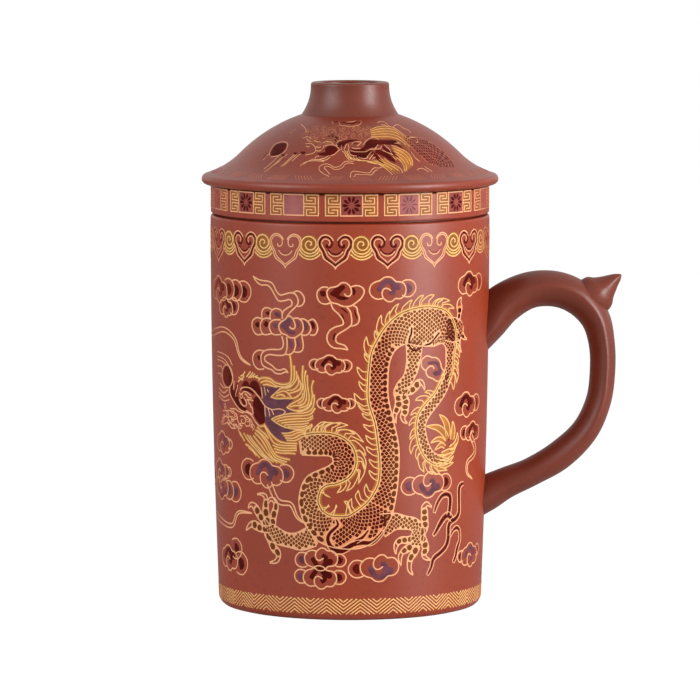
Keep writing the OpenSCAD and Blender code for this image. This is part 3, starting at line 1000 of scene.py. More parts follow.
# Half of a cloud head, to the right of its middle: outer line, dark curl with its widths, inner line and smile.
HEAD_LINE = points_of("""
    0,95 0.35,95.7 1.7,96.7 3,97.6 3.5,98.6 3.75,99.5 4.6,100.8 4.75,102.3 3.9,103.7 2.4,104.1 1.1,103.4 0.6,102.6""")
HEAD_INNER = points_of("""
    0,96,0.45 1.6,97.2,0.45 2.6,98.1,0.45 3,99.1,0.45 3.3,99.8,0.5 4.1,101,0.5 4.2,102.3,0.55 3.5,103.4,0.55
    2.3,103.6,0.55 1.2,103,0.55 0.85,102,0.6 1.05,101.1,0.6 1.75,100.7,0.65 2.35,101,0.9 2.3,101.5,0.8""")
HEAD_LAST = points_of("""
    0,96.7 1.2,97.7 2.1,98.5 2.5,99.3 2.9,100.2 3.6,101.3 3.65,102.2 3.1,102.9 2.3,103 1.6,102.5 1.45,101.8
    1.8,101.4""")
HEAD_SMILE = points_of("-2,100.2 -1.2,99.3 0,98.95 1.2,99.3 2,100.2")
FIRST_HEAD, CURL_Z = -3.9, 101.5
# Widths of a head's outer, fine, pale and smile lines and of the curls; how thin its dark curl is drawn; how far
# below the smile its pale line lies.
HEAD_PEN, HEAD_FINE, HEAD_PALE, SMILE_PEN, CURL_PEN = 0.38, 0.3, 0.32, 0.42, 0.45
HEAD_BRUSH, SMILE_DROP = 0.8, 0.55


def ruyi_border(many):
    """Cloud heads round the top: each has two curls that meet in a point, dark but on each third head. Between
    heads a golden spiral lies over nested arcs."""
    repeats, pitch = round_the_mug(sizes().ruyi_heads)
    inner = np.array(HEAD_INNER)
    for k in repeats:
        at = (FIRST_HEAD + k * pitch, 0)
        pale = k % 3 == 2
        for side in (1, -1):
            many["rose"].line(placed(HEAD_LINE, at, flip=(side, 1)), width=HEAD_PEN)
            where = placed(inner[:, :2], at, flip=(side, 1))
            if pale:
                many["rose"].line(where, width=HEAD_PALE)
            else:
                many["rose"].line(placed(HEAD_LAST, at, flip=(side, 1)), width=HEAD_FINE)
                many["dark"].brush(np.column_stack([where, inner[:, 2] * HEAD_BRUSH]))
        many["wine" if pale else "dark"].line(placed(HEAD_SMILE, at), width=SMILE_PEN)
        many["rose"].line(placed(HEAD_SMILE, at) - (0, SMILE_DROP), width=HEAD_FINE)
        middle = (at[0] + pitch / 2, CURL_Z)
        for r, drop in ((2.6, 0), (3.4, -0.9)):
            many["bronze"].fill(ring_points(middle[0], middle[1] + drop, r, r), smooth=False)
        many["gold"].line(spiral(middle, 2.5, 1.75, 200, -1, 0.12), width=CURL_PEN)
        for r, half in ((3.25, 66), (4.0, 50)):
            many["gold"].line(bow(middle, r, half, 0.95), smooth=False, width=CURL_PEN)
        many["gold"].line(bow(middle, 2.5, 68), smooth=False)


# The foot's band: its edges, the middle line's height, half a zigzag's height, the lines' spacing, the first
# peak's place and the lines' width.
BAND_LOW, BAND_HIGH, BAND_MIDDLE = 2.0, 6.15, 4.15
ZIG_RISE, ZIG_SPACING, ZIG_PLACE, ZIG_PEN = 1.75, 0.95, 2.9, 0.36


def zigzag_border(many):
    """Zigzag lines round the foot, one over another, cut off at the band's two edges: each is drawn as a row of
    chevrons that stand on the lower edge, or hang from the upper one."""
    number = sizes().zigzags
    pitch = round_the_mug(number)[1]
    slope = 4 * ZIG_RISE / pitch
    for k in range(-4, 5):
        middle = BAND_MIDDLE + ZIG_SPACING * k
        for turn, edge, shift in ((1, BAND_LOW, 0), (-1, BAND_HIGH, 0.5)):
            tip = middle + turn * ZIG_RISE
            if BAND_LOW + 0.4 <= tip <= BAND_HIGH - 0.1 and (turn > 0 or middle + ZIG_RISE > BAND_HIGH):
                s = np.linspace(-1, 1, 11) * min(turn * (tip - edge) / slope, pitch / 2)
                path = np.stack([s, tip - turn * slope * np.abs(s)], -1)
                at = ZIG_PLACE + pitch * (np.arange(number) + shift)
                many["gold"].strokes(path + at[:, None, None] * (1, 0), ZIG_PEN)


# The collar's panel and one side of its fret, then the fret's two interlocking lines, upper half, outwards.
PANEL = points_of("-2.95,-2.75 2.95,-2.75 2.95,2.75 -2.95,2.75 -2.95,-2.75")
FRET = points_of("2.95,-2.75 7,-2.75 7,2.75 2.95,2.75 2.95,-2.75")
FRET_OUT = points_of("7,0 7,2.75 3.7,2.75 3.7,1.2 5.35,1.2")
FRET_IN = points_of("2.95,0.38 6.15,0.38 6.15,1.98 4.6,1.98")
FRET_PLACE, FRET_Z = 0.4, 111.95
PANEL_PEN, FRET_PEN, PETALS = 0.38, 0.35, 10
# Along a petal: how far out from the flower's middle, and the petal's width.
PETAL = ((0.9, 0.3), (1.6, 0.95), (2.1, 0.85), (2.45, 0.25))


def fret_border(many):
    """Panels and square frets by turns round the collar: dark petals in one panel, a dusty ground in the next."""
    repeats, pitch = round_the_mug(sizes().frets)
    for k in repeats:
        at = (FRET_PLACE + k * pitch, FRET_Z)
        ground, petals, share = ("wine", "dark", 0.9) if k % 2 == 0 else ("mauve", "purple", 0.4)
        outline = cornered(PANEL, at)[:-1]
        many[ground].fill(outline, smooth=False)
        many["rose"].strokes(outline, PANEL_PEN, closed=True)
        for petal in range(PETALS if k % 4 != 3 else 0):
            turn = math.radians(360 / PETALS * petal)
            way = np.array([math.cos(turn), math.sin(turn)])
            many[petals].brush([(*(way * r + at), w * share) for r, w in PETAL], step=0.3)
        for side in (1, -1):
            many["bronze"].fill(cornered(FRET, at, (side, 1))[:-1], smooth=False)
            for up in (1, -1):
                for path in (FRET_OUT, FRET_IN):
                    many["rose"].strokes(cornered(path, at, (side, up)), FRET_PEN)


# ------------------------------------------------------------------ clouds

# A puff's outline, which runs into its curl, and the crescents of enamel in it. A lobe's outline and its crescent.
CLOUD = points_of("""
    -1.5,-2.4 -2.6,-2.6 -3.6,-2.4 -4.5,-1.75 -5.05,-0.8 -5.1,0 -4.8,1 -4,1.8 -3,2.2 -2.2,2.4 -1.6,2.9 -0.8,3.3 0.2,3.3
    1,3.1 1.6,2.6 2.2,2 3.4,1.9 4.2,1.6 4.9,0.8 5.1,-0.2 4.9,-1.3 4.2,-2.2 3.2,-2.6 2,-2.5 1.5,-3 0.9,-3.3 0,-3.3
    -0.8,-2.8 -1.4,-2.2 -1.7,-1.2 -1.55,-0.3 -1,0.25 -0.1,0.25 0.45,-0.1 0.8,-0.4""")
CLOUD_FILL = paths_of("""
    -2.5,-0.2,1.2 -1.9,0.8,1.2 -1.1,1.75,1 -0.1,2.2,0.9 0.9,1.8,1.2 1.5,1.2,1.4 2.7,0.7,1.6 3.4,0.3,1 / 1.5,0.2,1.2
    1.4,-0.5,1.3 0.9,-1,1.2 0.4,-0.7,0.6""")
LOBE = points_of("-0.6,1.7 0.3,2.05 1.6,1.95 2.7,1 2.8,-0.4 1.7,-1.7 0.3,-1.85 -0.6,-1.5")
LOBE_FILL = points_of("0.5,1.1,0.4 0.9,0.4,1.3 1,-0.2,1.4 0.7,-0.9,0.5")
CLOUD_PEN, CRESCENT = 0.42, 1.3


def crescent(ink, rows, at, scale, flip):
    """A brushed stroke in its place, with its widths made wider by the share CRESCENT."""
    rows = np.array(rows, float)
    ink.brush(np.column_stack([placed(rows[:, :2], at, scale, flip), rows[:, 2] * scale * CRESCENT]))


def cloud(many, fill, at, scale=1.0, up=1, lobes=()):
    """A puff with a hooked curl, crescents of enamel round the curl, and lobes at its sides. Up is -1 for a puff
    that is upside down."""
    many["rose"].line(placed(CLOUD, at, scale, (1, up)), width=CLOUD_PEN)
    for rows in CLOUD_FILL:
        crescent(many[fill], rows, at, scale, (1, up))
    for s, z, share, shade in lobes:
        where, flip = placed([(s, z)], at, scale, (1, up))[0], (math.copysign(1, s), up)
        many["rose"].line(placed(LOBE, where, scale * share, flip), width=CLOUD_PEN)
        crescent(many[shade], LOBE_FILL, where, scale * share, flip)


# Each puff: enamel, place, size and way up. Each of its lobes: place from the puff's middle, size and enamel.
CLOUDS = [
    ("purple", (8.4, 14.4), 1.09, -1, [(-5, 0, 1.1, "maroon")]),
    ("maroon", (-8.6, 11.9), 0.95, 1, [(-5, 0, 1, "purple"), (5, 0, 1, "maroon")]),
    ("maroon", (-8.2, 16.8), 0.93, -1, [(-5, 0.2, 1.1, "purple"), (4.9, 0.1, 0.95, "maroon")]),
    ("purple", (23.1, 36.3), 1.05, -1, [(-5, -0.1, 1.15, "purple"), (4.8, -0.4, 1.1, "maroon")]),
    ("purple", (-25, 39.2), 1.15, 1, [(-4.6, 0.5, 1.25, "maroon"), (4.9, 0.3, 1.05, "purple")]),
    ("maroon", (-3.8, 58.9), 0.75, 1, [(-4.4, 0, 0.9, "maroon"), (4.4, 0, 0.9, "maroon")]),
    ("maroon", (-5.4, 69.3), 0.8, 1, [(-4.6, 0, 0.9, "maroon"), (4.5, -0.3, 1, "maroon")]),
    ("purple", (10.3, 89.5), 1, 1, [(4.7, 0, 1.15, "purple")]),
    ("maroon", (38.3, 89.6), 1, 1, [(4.7, 0, 1.15, "maroon")]),
    ("maroon", (37.5, 56.9), 1.03, 1, [(4.7, 0, 1.1, "maroon")]),
    ("maroon", (41.6, 49.2), 0.85, 1, [(-4.6, 0, 1.1, "maroon")]),
    ("purple", (42, 15.5), 1, 1, [(-4.6, 0, 0.8, "maroon"), (4.6, 0.8, 0.8, "maroon")]),
    ("maroon", (-46, 87.5), 1.1, 1, [(4.8, 0.4, 1.3, "maroon"), (8.1, 0.3, 1.3, "maroon"), (11.3, 0.2, 1.3, "maroon")]),
    ("maroon", (-41.5, 83), 0.8, 1, [(4.4, 0.6, 1.45, "maroon")]),
    ("purple", (-45, 45.8), 0.95, 1, [(4.5, 0, 0.7, "purple")]),
    ("purple", (-48, 38), 0.95, 1, [(4.5, 0, 1, "purple"), (6.6, 0.2, 0.7, "purple")]),
    ("purple", (-47, 33.4), 1, -1, [(4.6, 0, 1.3, "purple"), (8, 0.1, 1.4, "purple")]),
    ("maroon", (-43, 14.6), 1.05, 1, [(5.3, -0.9, 1.5, "maroon"), (3.4, 2.7, 1.35, "maroon")])]
# Places of the same puffs round the back, clear of the handle's roots.
BACK_CLOUDS = points_of("""
    76,14 98,18 120,13 142,19 164,14 84,36 108,42 131,35 154,43 178,36 76,58 97,64 120,58 143,66 165,59 86,84 110,88
    136,83""")
# Clouds and streamers that are shaped on their own: their lines, then dabs of enamel.
CLOUD_LINES = paths_of("""
    -28.6,92.25 -26.3,91.4 -23,91.1 -21.7,90.4 -20.8,88.8 -19.7,87.7 -18.3,87.9 -16.5,88.4 -15.2,88.2 -14.4,87.2
    -14.2,85.8 -14.8,84.8 -16.5,83.2 -17.5,82 / -28.6,92.25 -27.5,91 -25.8,90.1 -23.5,90.1 -22.2,89 -21.2,87.5
    -20,86.1 -18.2,86.2 -16.7,86.6 -16,85.9 -16.1,85 -17.5,84.2 -18.7,83.2 -19,81.5 / -15.7,88.4 -14.5,88.95
    -13.2,88.4 -12.4,86.9 -12.7,85.6 -13.6,84.9 -14.5,84.9 / -19.2,80.6 -18.2,81.05 -17.5,81.9 -16.8,82.2 -15.8,81.5
    -15.3,80.5 -15.05,79.5 -15.4,78.8 -16.1,78.75 -16.8,79.25 / -15.5,81.6 -14,81.6 -13,80.5 -12.75,79 -13.2,77.8
    -14.5,76.8 -15.2,76.4 -16.8,76.4 -17.8,77.05 -19.2,77.5 -20,78.8 -19.9,79.8 -19.2,80.6 / -19.5,81 -21.5,80.9
    -22.9,80 -23.1,78.8 -22.3,77.3 -21.2,76.9 -19.3,77.1 / -22.5,81 -23.8,81.25 -25.3,80.8 -26.1,79.5 -25.9,77.8
    -24.8,76.75 -22.5,77.1 / -25.8,81 -27.3,81.2 -28.8,80.4 -29.2,79 -28.6,77.5 -27.3,76.6 -25.1,76.9 / -22.75,81.1
    -22.75,82.5 -22,83.6 -20.8,84 -19.3,83.6 -19,83 -18.9,81.3 / -25.5,81 -25.6,82.5 -25.1,83.6 -23.8,84.1 -22,83.6 /
    -13.8,81.4 -12.5,81.5 -11.3,80.6 -10.6,79 -11.3,77.5 -12.5,77.1 -13.5,77.5 / -11.3,81 -10,81.5 -9,80.3 -8.75,78.8
    -9.5,77.3 -10.8,77.3 / -19.1,76.6 -18.6,74.8 -19,73.5 -20,73 -22.5,72.9 -24.5,72.5 -25.8,71.5 -26,70 -25.5,68.5
    -24,67.8 -22.3,67.4 -21.3,66.6 -19.5,66.5 -18,67.1 -17.3,66.9 / -17.6,76.4 -17.5,74.3 -17.8,72.5 -18.5,71.6
    -20.5,71.4 -23,71.5 -24.4,71 -24.8,70 -23.8,69.3 -22.3,68.6 -21,67.6 -19.5,67.5 -18.3,67.9 -17.3,66.9 / -15.3,76.4
    -15,74.5 -15.5,72.8 -16.5,71.9 -17.5,71.8 -18.3,71.8 / -13.3,77.5 -13,76 -12.8,74 -13.3,72.8 -14.5,72.5 -15.3,72.6
    / -24.8,72.4 -27,72.4 -28.5,71.5 -29.1,70 -28.5,68.3 -27,67.3 -25,67.5 / -6.25,88.75 -6,87.5 -5,86.1 -3.5,85.75
    -2,85.1 0,85.1 1.5,86 3,87.25 3.75,88.75 3.5,89.9 2.5,90.5 1.25,90.6 0.25,90.25 / -6.25,88.75 -5.6,89.9 -3.5,90.4
    -2.5,91.25 -1.25,91.4 -0.1,90.5 0.4,89 0,87.9 -0.9,87.75 -1.5,88.4 / -6,90.1 -7.5,90.1 -8.75,89 -8.9,87.5 -8,86
    -6.5,85.6 -5.25,86 / -5.1,85.75 -4.5,84.3 -3,82.9 -2,81.5 -1.75,80.5 -2.3,80 -4,79.5 -5.5,78.5 -6.25,76.8 -5.75,75
    -4.3,73.9 -2.3,73.75 -0.6,73.4 / -1,85 0,83.75 0.4,82 0.4,80.3 -0.25,79.5 -1.75,78.5 -3.3,77.5 -3.9,76.3 -3.5,75.3
    -2.3,74.9 -1.3,74.5 -0.6,73.4 / 0.5,85.4 1.75,84.8 2,83.5 2.5,82 2.1,80.5 1,79.9 0.4,79.75 / 21.7,67.2 20.7,67.8
    20.15,68.8 20.2,70 20.9,70.8 22.1,71.2 23.1,70.9 23.6,70.6 24.7,70.6 25.9,70 26.6,69 26.9,67.8 27.6,67 27.9,66
    27.6,64.8 26.7,64.2 25.6,64.1 24.6,64.5 24.1,64.9 22.9,65.3 22.1,65.8 21.65,66.7 21.8,67.5 22.6,68.2 23.4,68.4
    24.1,68.1 24.3,67.6""")
CLOUD_DABS = {
    "maroon": paths_of("""
    -27.9,79.4,0.6 -27.1,79.3,1.7 -26.4,79.5,0.9 / -24.9,79.6,0.6 -24.2,79.6,1.8 -23.5,79.8,1 / -24.1,82.7,0.5
    -23.5,82.6,1.2 -23,82.4,0.6 / -27.1,71,0.4 -26.8,70.5,1 -26.6,69.8,0.4 / -10.5,80.8,0.5 -10,80,1.1 -9.9,79,0.6 /
    -7.9,88.9,0.6 -7.2,88.4,1.9 -6.6,88,0.8 / -5.2,88.4,0.8 -4,88.6,2.2 -2.8,89.6,1.8 -1.6,90.3,1.1 / -4,88.2,1
    -2.8,87.4,1.1 -1.4,87.2,0.9 -0.4,87.4,0.3 / 0.6,90.1,0.4 1.1,89.2,1 1,88.2,0.5 / -2.4,84.6,0.2 -1.4,84,0.5
    -0.7,83.2,0.2 / -2.3,83,0.2 -1.8,82,0.5 -1.4,81,0.2 / 1.2,84.2,0.2 1.5,83,0.5 1.8,81.8,0.2 / -4,77.9,0.3
    -4.3,77,0.7 -4.3,76,0.3"""),
    "purple": paths_of("""
    -21.9,79.6,0.6 -21,79.4,1.8 -20.2,79.6,0.8 / -19.3,79.4,0.8 -18,79.6,2.6 -16.8,80.8,1.7 -16.2,81.3,0.8 /
    -18,78.8,0.8 -16.8,77.9,1.2 -15.2,77.8,1 / -14.6,80.8,0.4 -14.2,80,0.9 -14.2,79,0.4 / -12.6,80.8,0.5 -12,79.8,1.2
    -12,78.6,0.6 / -21.2,82.8,0.6 -20.3,82.3,1.5 -19.6,81.9,0.6 / 22.4,69.2,0.8 23.6,69.25,1 24.7,69.25,0.9
    25.6,68.7,1 26.1,67.8,0.9 26.4,66.8,1.2 25.7,66.3,1.4 24.7,66.4,1.4 24.1,66.5,0.8 / -16.9,75.8,0.6 -16.3,74.8,1.1
    -16.2,73.4,0.5 / -14.6,76,0.3 -14.1,74.9,0.7 -14.2,73.8,0.3""")}

# Streamers of cloud: a line, the gap to its second line, and how far open it starts, 1 at a cloud or 0 alone.
STREAMERS = [
    (points_of("-58,74.6 -49,76.6 -42,77.4 -36.5,75.2 -34,70.4 -30,68.2"), -1.8, 0),
    (points_of("-58,25.4 -49,23.6 -40,23.2 -36.6,27.2 -30.5,28"), 1.8, 0),
    (points_of("-23,37 -20.6,32.6 -16.6,31.8 -14.8,28.2 -12.6,26.4"), -1.6, 1),
    (points_of("39.6,48 42.8,43.8 38.6,41.4 38.6,38 42,36.2"), 1.5, 1)]


def streamer(ink, points, gap, root):
    """Two lines that run side by side and meet at the far end, and at the near end too where it starts alone."""
    path = even(curve(points, 10), 0.7)
    share = np.minimum(np.linspace(1, 0, len(path)) ** 0.6, root + np.linspace(0, 6, len(path)))
    ink.line(path, smooth=False)
    ink.line(path + left_of(path) * gap * share[:, None], smooth=False)


# ------------------------------------------------------------------ dragon

# The body from the neck to the end of the arch, and the tail beyond it: centre and half width.
BODY = points_of("""
    -13.6,47.6,2.7 -9.5,48,3.15 -5.5,48,3.15 -2.5,46.7,3.2 -1.4,44.2,3.35 -1.9,41.6,3.2 -4.4,39.8,2.8 -7.4,38.8,2.4
    -10.3,36.8,2.8 -11.5,33,2.9 -11.1,30.4,3.05 -9.6,27.6,3.4 -6,24.9,4.2 -0.4,24.3,4.6 3.6,25.6,5 7.5,29.5,4.3
    9.6,34,3.35 10.6,38,2.85 10.8,43.3,2.9 10.4,48,3 9.2,54,2.7 7.6,60,2.9 7.5,65,2.8 7.8,69.3,2.8 8.4,72.1,2.95
    9.7,74.6,3 12,77.2,3.6 15.4,79,4.5 19.5,79.3,5.3 23.5,79.1,5.4 26.8,78.4,5 29.4,76.4,3.6 30.4,73.6,2.2
    30.2,70.6,1.7 30.1,68,1.55 29.4,65.9,1.6 28,64.1,1.75""")
TAIL = points_of("""
    29.6,66.2,1.5 27.8,62.8,1.8 25.6,59.9,1.7 23.4,57.9,1.75 20.9,55.2,1.8 20,52.2,1.6 20.4,49.6,1.6 21.2,47.1,1.6
    22.8,44.5,1.6 25.2,42.9,1.5 28,42.3,1.1 30.6,42.2,0.5""")
# Tips of the flames along the back of the body and of the tail.
THORNS = points_of("""
    -10.3,53 -8.5,53 -6.6,54 -4.6,53.8 -2.6,53.5 -0.6,53.2 1.3,50.8 3.7,48.6 4.3,44.9 4.1,40.8 2.3,37.4 -1,35.4
    -3.6,34.9 -5.4,33.6 -6,31.6 -3.9,31.6 -1.6,32.6 0.4,33.3 2.3,35.6 4.4,37.3 5.2,41 5.2,44 4.4,47.4 4.3,50.4
    3.6,53.4 3.2,56.4 2,59.4 1.1,61.8 2.4,65 1.9,68.9 3.9,72.5 4.4,76.9 6.75,78.6 8.45,82.6 10.8,83.6 13.3,85.6
    17.25,86.5 20.75,87.6 24.25,87.5 27.25,86.1 29.8,85.6 31.6,83.4 33.4,76.5 33.9,72.6 34,70 33.6,68 33.4,65.6
    32.9,63.2 31.6,61.4""")
TAIL_THORNS = points_of("21.4,61.4 18.3,59.4 17,55.4 16.5,52.6 16.9,49 17.2,45 19.2,43.2 21.5,39.8 24.4,39 27,38.9")
# The line of the shoulder, and the fold under the belly with its branch, drawn with a brush.
SHOULDER = points_of("""
    17.1,79 17,77.5 16.4,75.8 16.4,74.3 17.2,73.2 18.5,72.9 20,73.5 21.5,74.1 23,74.5 24.2,75.5 25.2,76.5 26,77.2""")
FOLD = points_of("""
    -3.8,27.6,0.4 -3.3,26.3,0.6 -4.2,25.3,0.8 -5.6,24,0.9 -6.2,22.4,1 -5.6,20.7,1.15 -4.3,19.5,1.3 -2.8,19.2,1.4
    -1.2,19.8,1.3 0.9,21,1.2 3.5,21.4,1.1 5.9,21.4,1 7.7,22.7,0.9 9.3,24.5,0.6""")
FOLD_BRANCH = points_of("1.6,21.9,0.9 3.5,22.9,0.7 5.2,24.9,0.3")
# Each leg: the counts of plates on its toes, then its line from the body to its foot, then each toe's line from
# the foot to the tip of its claw.
LEGS = [
    ((3, 3, 3, 3, 3), paths_of("""
    -10.6,23,2.8 -14,21.6,2.5 -17.4,21.6,1.9 -20.4,22.2,2.1 -23.6,23.4,2.4 -25,24.2,1.6 / -24.6,24.1,0.9
    -27,24.2,0.95 -29.4,24.9,1.1 -30.8,24.9,0.7 -32,24.2,0.5 -33,23.2,0.1 / -24.6,25,0.8 -26.4,26.6,0.95
    -27.8,28.2,1.05 -28.9,29.6,1 -30.2,30.4,0.6 -31.1,30.2,0.4 -31.9,29.3,0.1 / -24.2,25.2,0.9
    -24.9,27.4,1.05 -25.2,29.6,1 -25,31.6,0.7 -25.2,33,0.55 -26.4,33.5,0.3 -28.1,33.4,0.1 / -22.8,25,0.9
    -22.7,27,0.95 -22.2,28.8,0.9 -21.6,30.6,0.7 -22.2,32.2,0.55 -23.6,32.3,0.4 -24.4,31,0.1 / -24.9,22.6,0.8
    -23.6,20.9,0.9 -22.7,19.2,1 -21.4,18.2,0.9 -21.1,16.9,0.6 -22,15.6,0.5 -24.1,15.1,0.1""")),
    ((4, 3, 2, 2, 3), paths_of("""
    9,26,3.2 12.5,26.9,2.3 15.5,26.5,1.8 18.4,25.9,1.7 19.9,24.2,1.9 19.6,22,2.1 19.3,20,1.4 / 21.2,23.2,0.9
    22,25,1.1 21.9,27,1.05 21.8,29,1 21.6,30.4,0.7 22.6,31.2,0.5 24.2,30.2,0.1 / 18.2,22.1,0.8
    16.4,21.7,0.85 14.6,21.8,0.8 13.4,21,0.7 12.9,19.8,0.45 13,18.2,0.1 / 18,20,0.9 16.2,19.2,0.95
    14.9,18.4,0.6 14.3,17,0.5 14.6,15,0.1 / 19.6,19.6,0.95 18.6,18,0.95 17.6,16.8,0.8 17.2,15,0.65
    17.4,13.4,0.5 18.4,12.2,0.1 / 21.3,22.6,0.8 21.9,20.8,1 22.5,19,1 21.9,17.8,0.8 22.3,16.6,0.5
    24.2,15.8,0.1""")),
    ((3, 4, 3), paths_of("""
    18,75.4,2.6 17.8,71,2.1 17.3,68,1.9 16.2,65.4,1.6 14.6,63.2,1.9 13.6,61,2 / 15,61.8,0.8 16.8,61.9,0.85
    18.2,62.9,0.95 19.3,64,0.95 20.5,63.9,0.55 21.3,62.2,0.1 / 14.6,61,0.9 15.5,59.4,0.95 15.3,57.6,1
    15.2,56.2,0.9 14.6,55.2,0.6 15,54,0.4 16,53.4,0.1 / 13.2,61,0.9 13.5,58.9,1 12.9,57.2,0.8 12.3,55.6,0.5
    12.6,53.6,0.1""")),
    ((2, 1, 2), paths_of("""
    28.6,78,3 31.6,77.6,3.3 34,77.2,2.7 35.2,77,1.6 / 33.4,80.4,0.6 33.8,82,0.75 33.8,83.6,1.1 33.7,84.9,0.8
    34.6,86.2,0.1 / 35,76,0.8 36,75.2,0.5 37.3,74.7,0.1 / 33.6,75.6,0.9 33.4,74,0.8 33.8,72.8,0.5
    34.7,71.4,0.1"""))]
# Dark bolts of flame beside the hind foot.
BOLTS = paths_of("""
    37,35.5,0.3 35.8,35.3,0.6 35,34.4,0.75 35,32,0.7 35.2,29,0.7 35.1,27.6,0.8 34,26.4,0.85 32.6,25.9,0.9
    31.2,25.2,0.8 30.7,24,0.8 30.8,22,0.8 30.5,20.2,0.85 29.6,18.8,0.8 27.8,17.5,0.75 26,16.6,0.7 25,15.6,0.6
    24.6,14,0.45 23.8,12.6,0.3 23.2,11.8,0.1 / 32.4,26,0.8 31.3,27,0.95 30.4,27.5,1.05 29,27,1.05 27.6,25.6,0.95
    26.4,24,0.6 25.6,23,0.35 25,22.4,0.1 / 30.6,27.4,0.7 31,29,0.75 31.2,31,0.8 31,32.6,0.75 29.8,33.2,0.75
    28.2,33.1,0.65 26.8,31.9,0.5 25.8,30.2,0.35 25.2,28.6,0.1 / 31.4,21.6,0.1 32.6,23,0.25 34.2,23.7,0.6 35.6,22.8,0.3
    35.9,20.4,0.3 34.8,18,0.6 34.2,16,0.5 33.2,14.4,0.3""")
# Along the body: from, to, a scale's share of its place, the places' share of the usual pitch, and the belly's
# room. The tail has one such row.
SCALE_ROWS = [(0, 24, 0.9, 1.0, 1.45), (24, 42, 0.92, 1.12, 1.45), (42, 59, 0.92, 1.12, 0.35),
              (59, 86, 0.92, 1.12, 1.45), (86, 105, 0.91, 1.06, 1.4), (105, 124, 0.9, 1.02, 0.3),
              (124, 999, 0.9, 0.98, 0.3)]
TAIL_ROWS = [(0, 999, 0.95, 1.04, 0.3)]
BODY_TOP, TAIL_TOP = 0.75, 0.65
# Room that the scales keep from the folds and from the shoulder's line.
FOLD_ROOM, SHOULDER_ROOM = 0.6, 0.65
# The belly's plates: length, width, spacing and their middle's inset; where along the body they start and end;
# and the middle and half length of the bend that has none.
PLATE_LONG, PLATE_WIDE, PLATE_SPACING, PLATE_INSET = 1.62, 1.35, 1.75, 0.76
PLATES_START, PLATES_END, PLATES_GAP, PLATES_GAP_HALF = 2, 105, 50, 8
# The back: how far in from its edge the second golden line and the dark one lie, and the width of the ochre
# ground that the flames stand on.
BACK_INNER, BACK_DARK, BACK_GROUND = 0.62, 0.3, 0.75
# Legs: their scales' pitch as a share of the body's, a scale's share of its place, and the room at the edges.
LEG_PITCH, LEG_SCALE, LEG_ROOM = 1.05, 0.9, 0.34
# The plates' share of a toe that has one or two of them, and of a longer toe.
SHORT_TOE, LONG_TOE = 0.5, 0.64
# How much wider than the dark stroke the lines round a fold and round a bolt lie.
FOLD_AROUND, BOLT_AROUND = 0.55, 0.75
# Widths of lines: edges, the back's inner line, folds, the shoulder, legs, bolts and the tail's flames.
EDGE_PEN, INNER_PEN, FOLD_PEN, SHOULDER_PEN, LEG_PEN, BOLT_PEN, FLAME_PEN = 0.42, 0.36, 0.26, 0.7, 0.4, 0.32, 0.4


def two_edges(ink, rows, **how):
    """Draws a tapering shape by its two edges, which meet at its tip."""
    path = even(curve(rows, 10), 0.5)
    side = left_of(path[:, :2]) * path[:, 2:3] / 2
    ink.line(np.concatenate([path[:, :2] + side, (path[:, :2] - side)[::-1]]), smooth=False, step=0.4, **how)


def wider(rows, more, share=1):
    """The same points, each with its width multiplied by a share and added to."""
    return [(s, z, share * w + more) for s, z, w in rows]


def dragon_body(many):
    """Dark six-sided scales on a copper ground, a row of plates along the belly, a dark line between two golden
    ones along the back, and flames that lean towards the tail."""
    pitch = sizes().scale
    body, tail = Strip(BODY), Strip(TAIL)
    clear = [curve(rows, 4) * (1, 1, 0.5) + (0, 0, room) for rows, room in (
        (FOLD, FOLD_ROOM), (FOLD_BRANCH, FOLD_ROOM), ([(*p, 0) for p in SHOULDER], SHOULDER_ROOM))]
    for strip, side, tips, parts in ((body, 1, THORNS, SCALE_ROWS), (tail, -1, TAIL_THORNS, TAIL_ROWS)):
        many["net"].line(strip.ground(), section=BAND, smooth=False)
        many["ochre"].line(strip.edge(side, -BACK_DARK * side), smooth=False, width=BACK_GROUND, section=BAND)
        for tip in tips:
            many["gold"].line(strip.thorn(tip, side), smooth=False, step=0.35, width=INNER_PEN)
        for start, end, share, wide, belly in parts:
            rooms = (BODY_TOP, belly) if side > 0 else (belly, TAIL_TOP)
            if start < strip.length:
                many["scale"].cells(strip.scales(pitch * wide, share, *rooms, start, min(end, strip.length), clear))
        for name, share, inset, pen in (("gold", side, 0, EDGE_PEN), ("gold", side, BACK_INNER, INNER_PEN),
                                        ("rose", -side, 0, EDGE_PEN), ("dark", side, BACK_DARK, FOLD_PEN)):
            many[name].line(strip.edge(share, side * inset), smooth=False, width=pen)
    plates = np.arange(PLATES_START, PLATES_END, PLATE_SPACING)
    plates = plates[(abs(plates - PLATES_GAP) > PLATES_GAP_HALF)
                    & clear_of(body.place(plates, 0.8 - body.width(plates)), clear)]
    many["scale"].cells(body.ovals(plates, PLATE_INSET - body.width(plates), PLATE_LONG, PLATE_WIDE))
    many["dark"].line(SHOULDER, width=SHOULDER_PEN)
    for rows in (FOLD, FOLD_BRANCH):
        two_edges(many["rose"], wider(rows, FOLD_AROUND), width=FOLD_PEN)
        many["dark"].brush(rows)


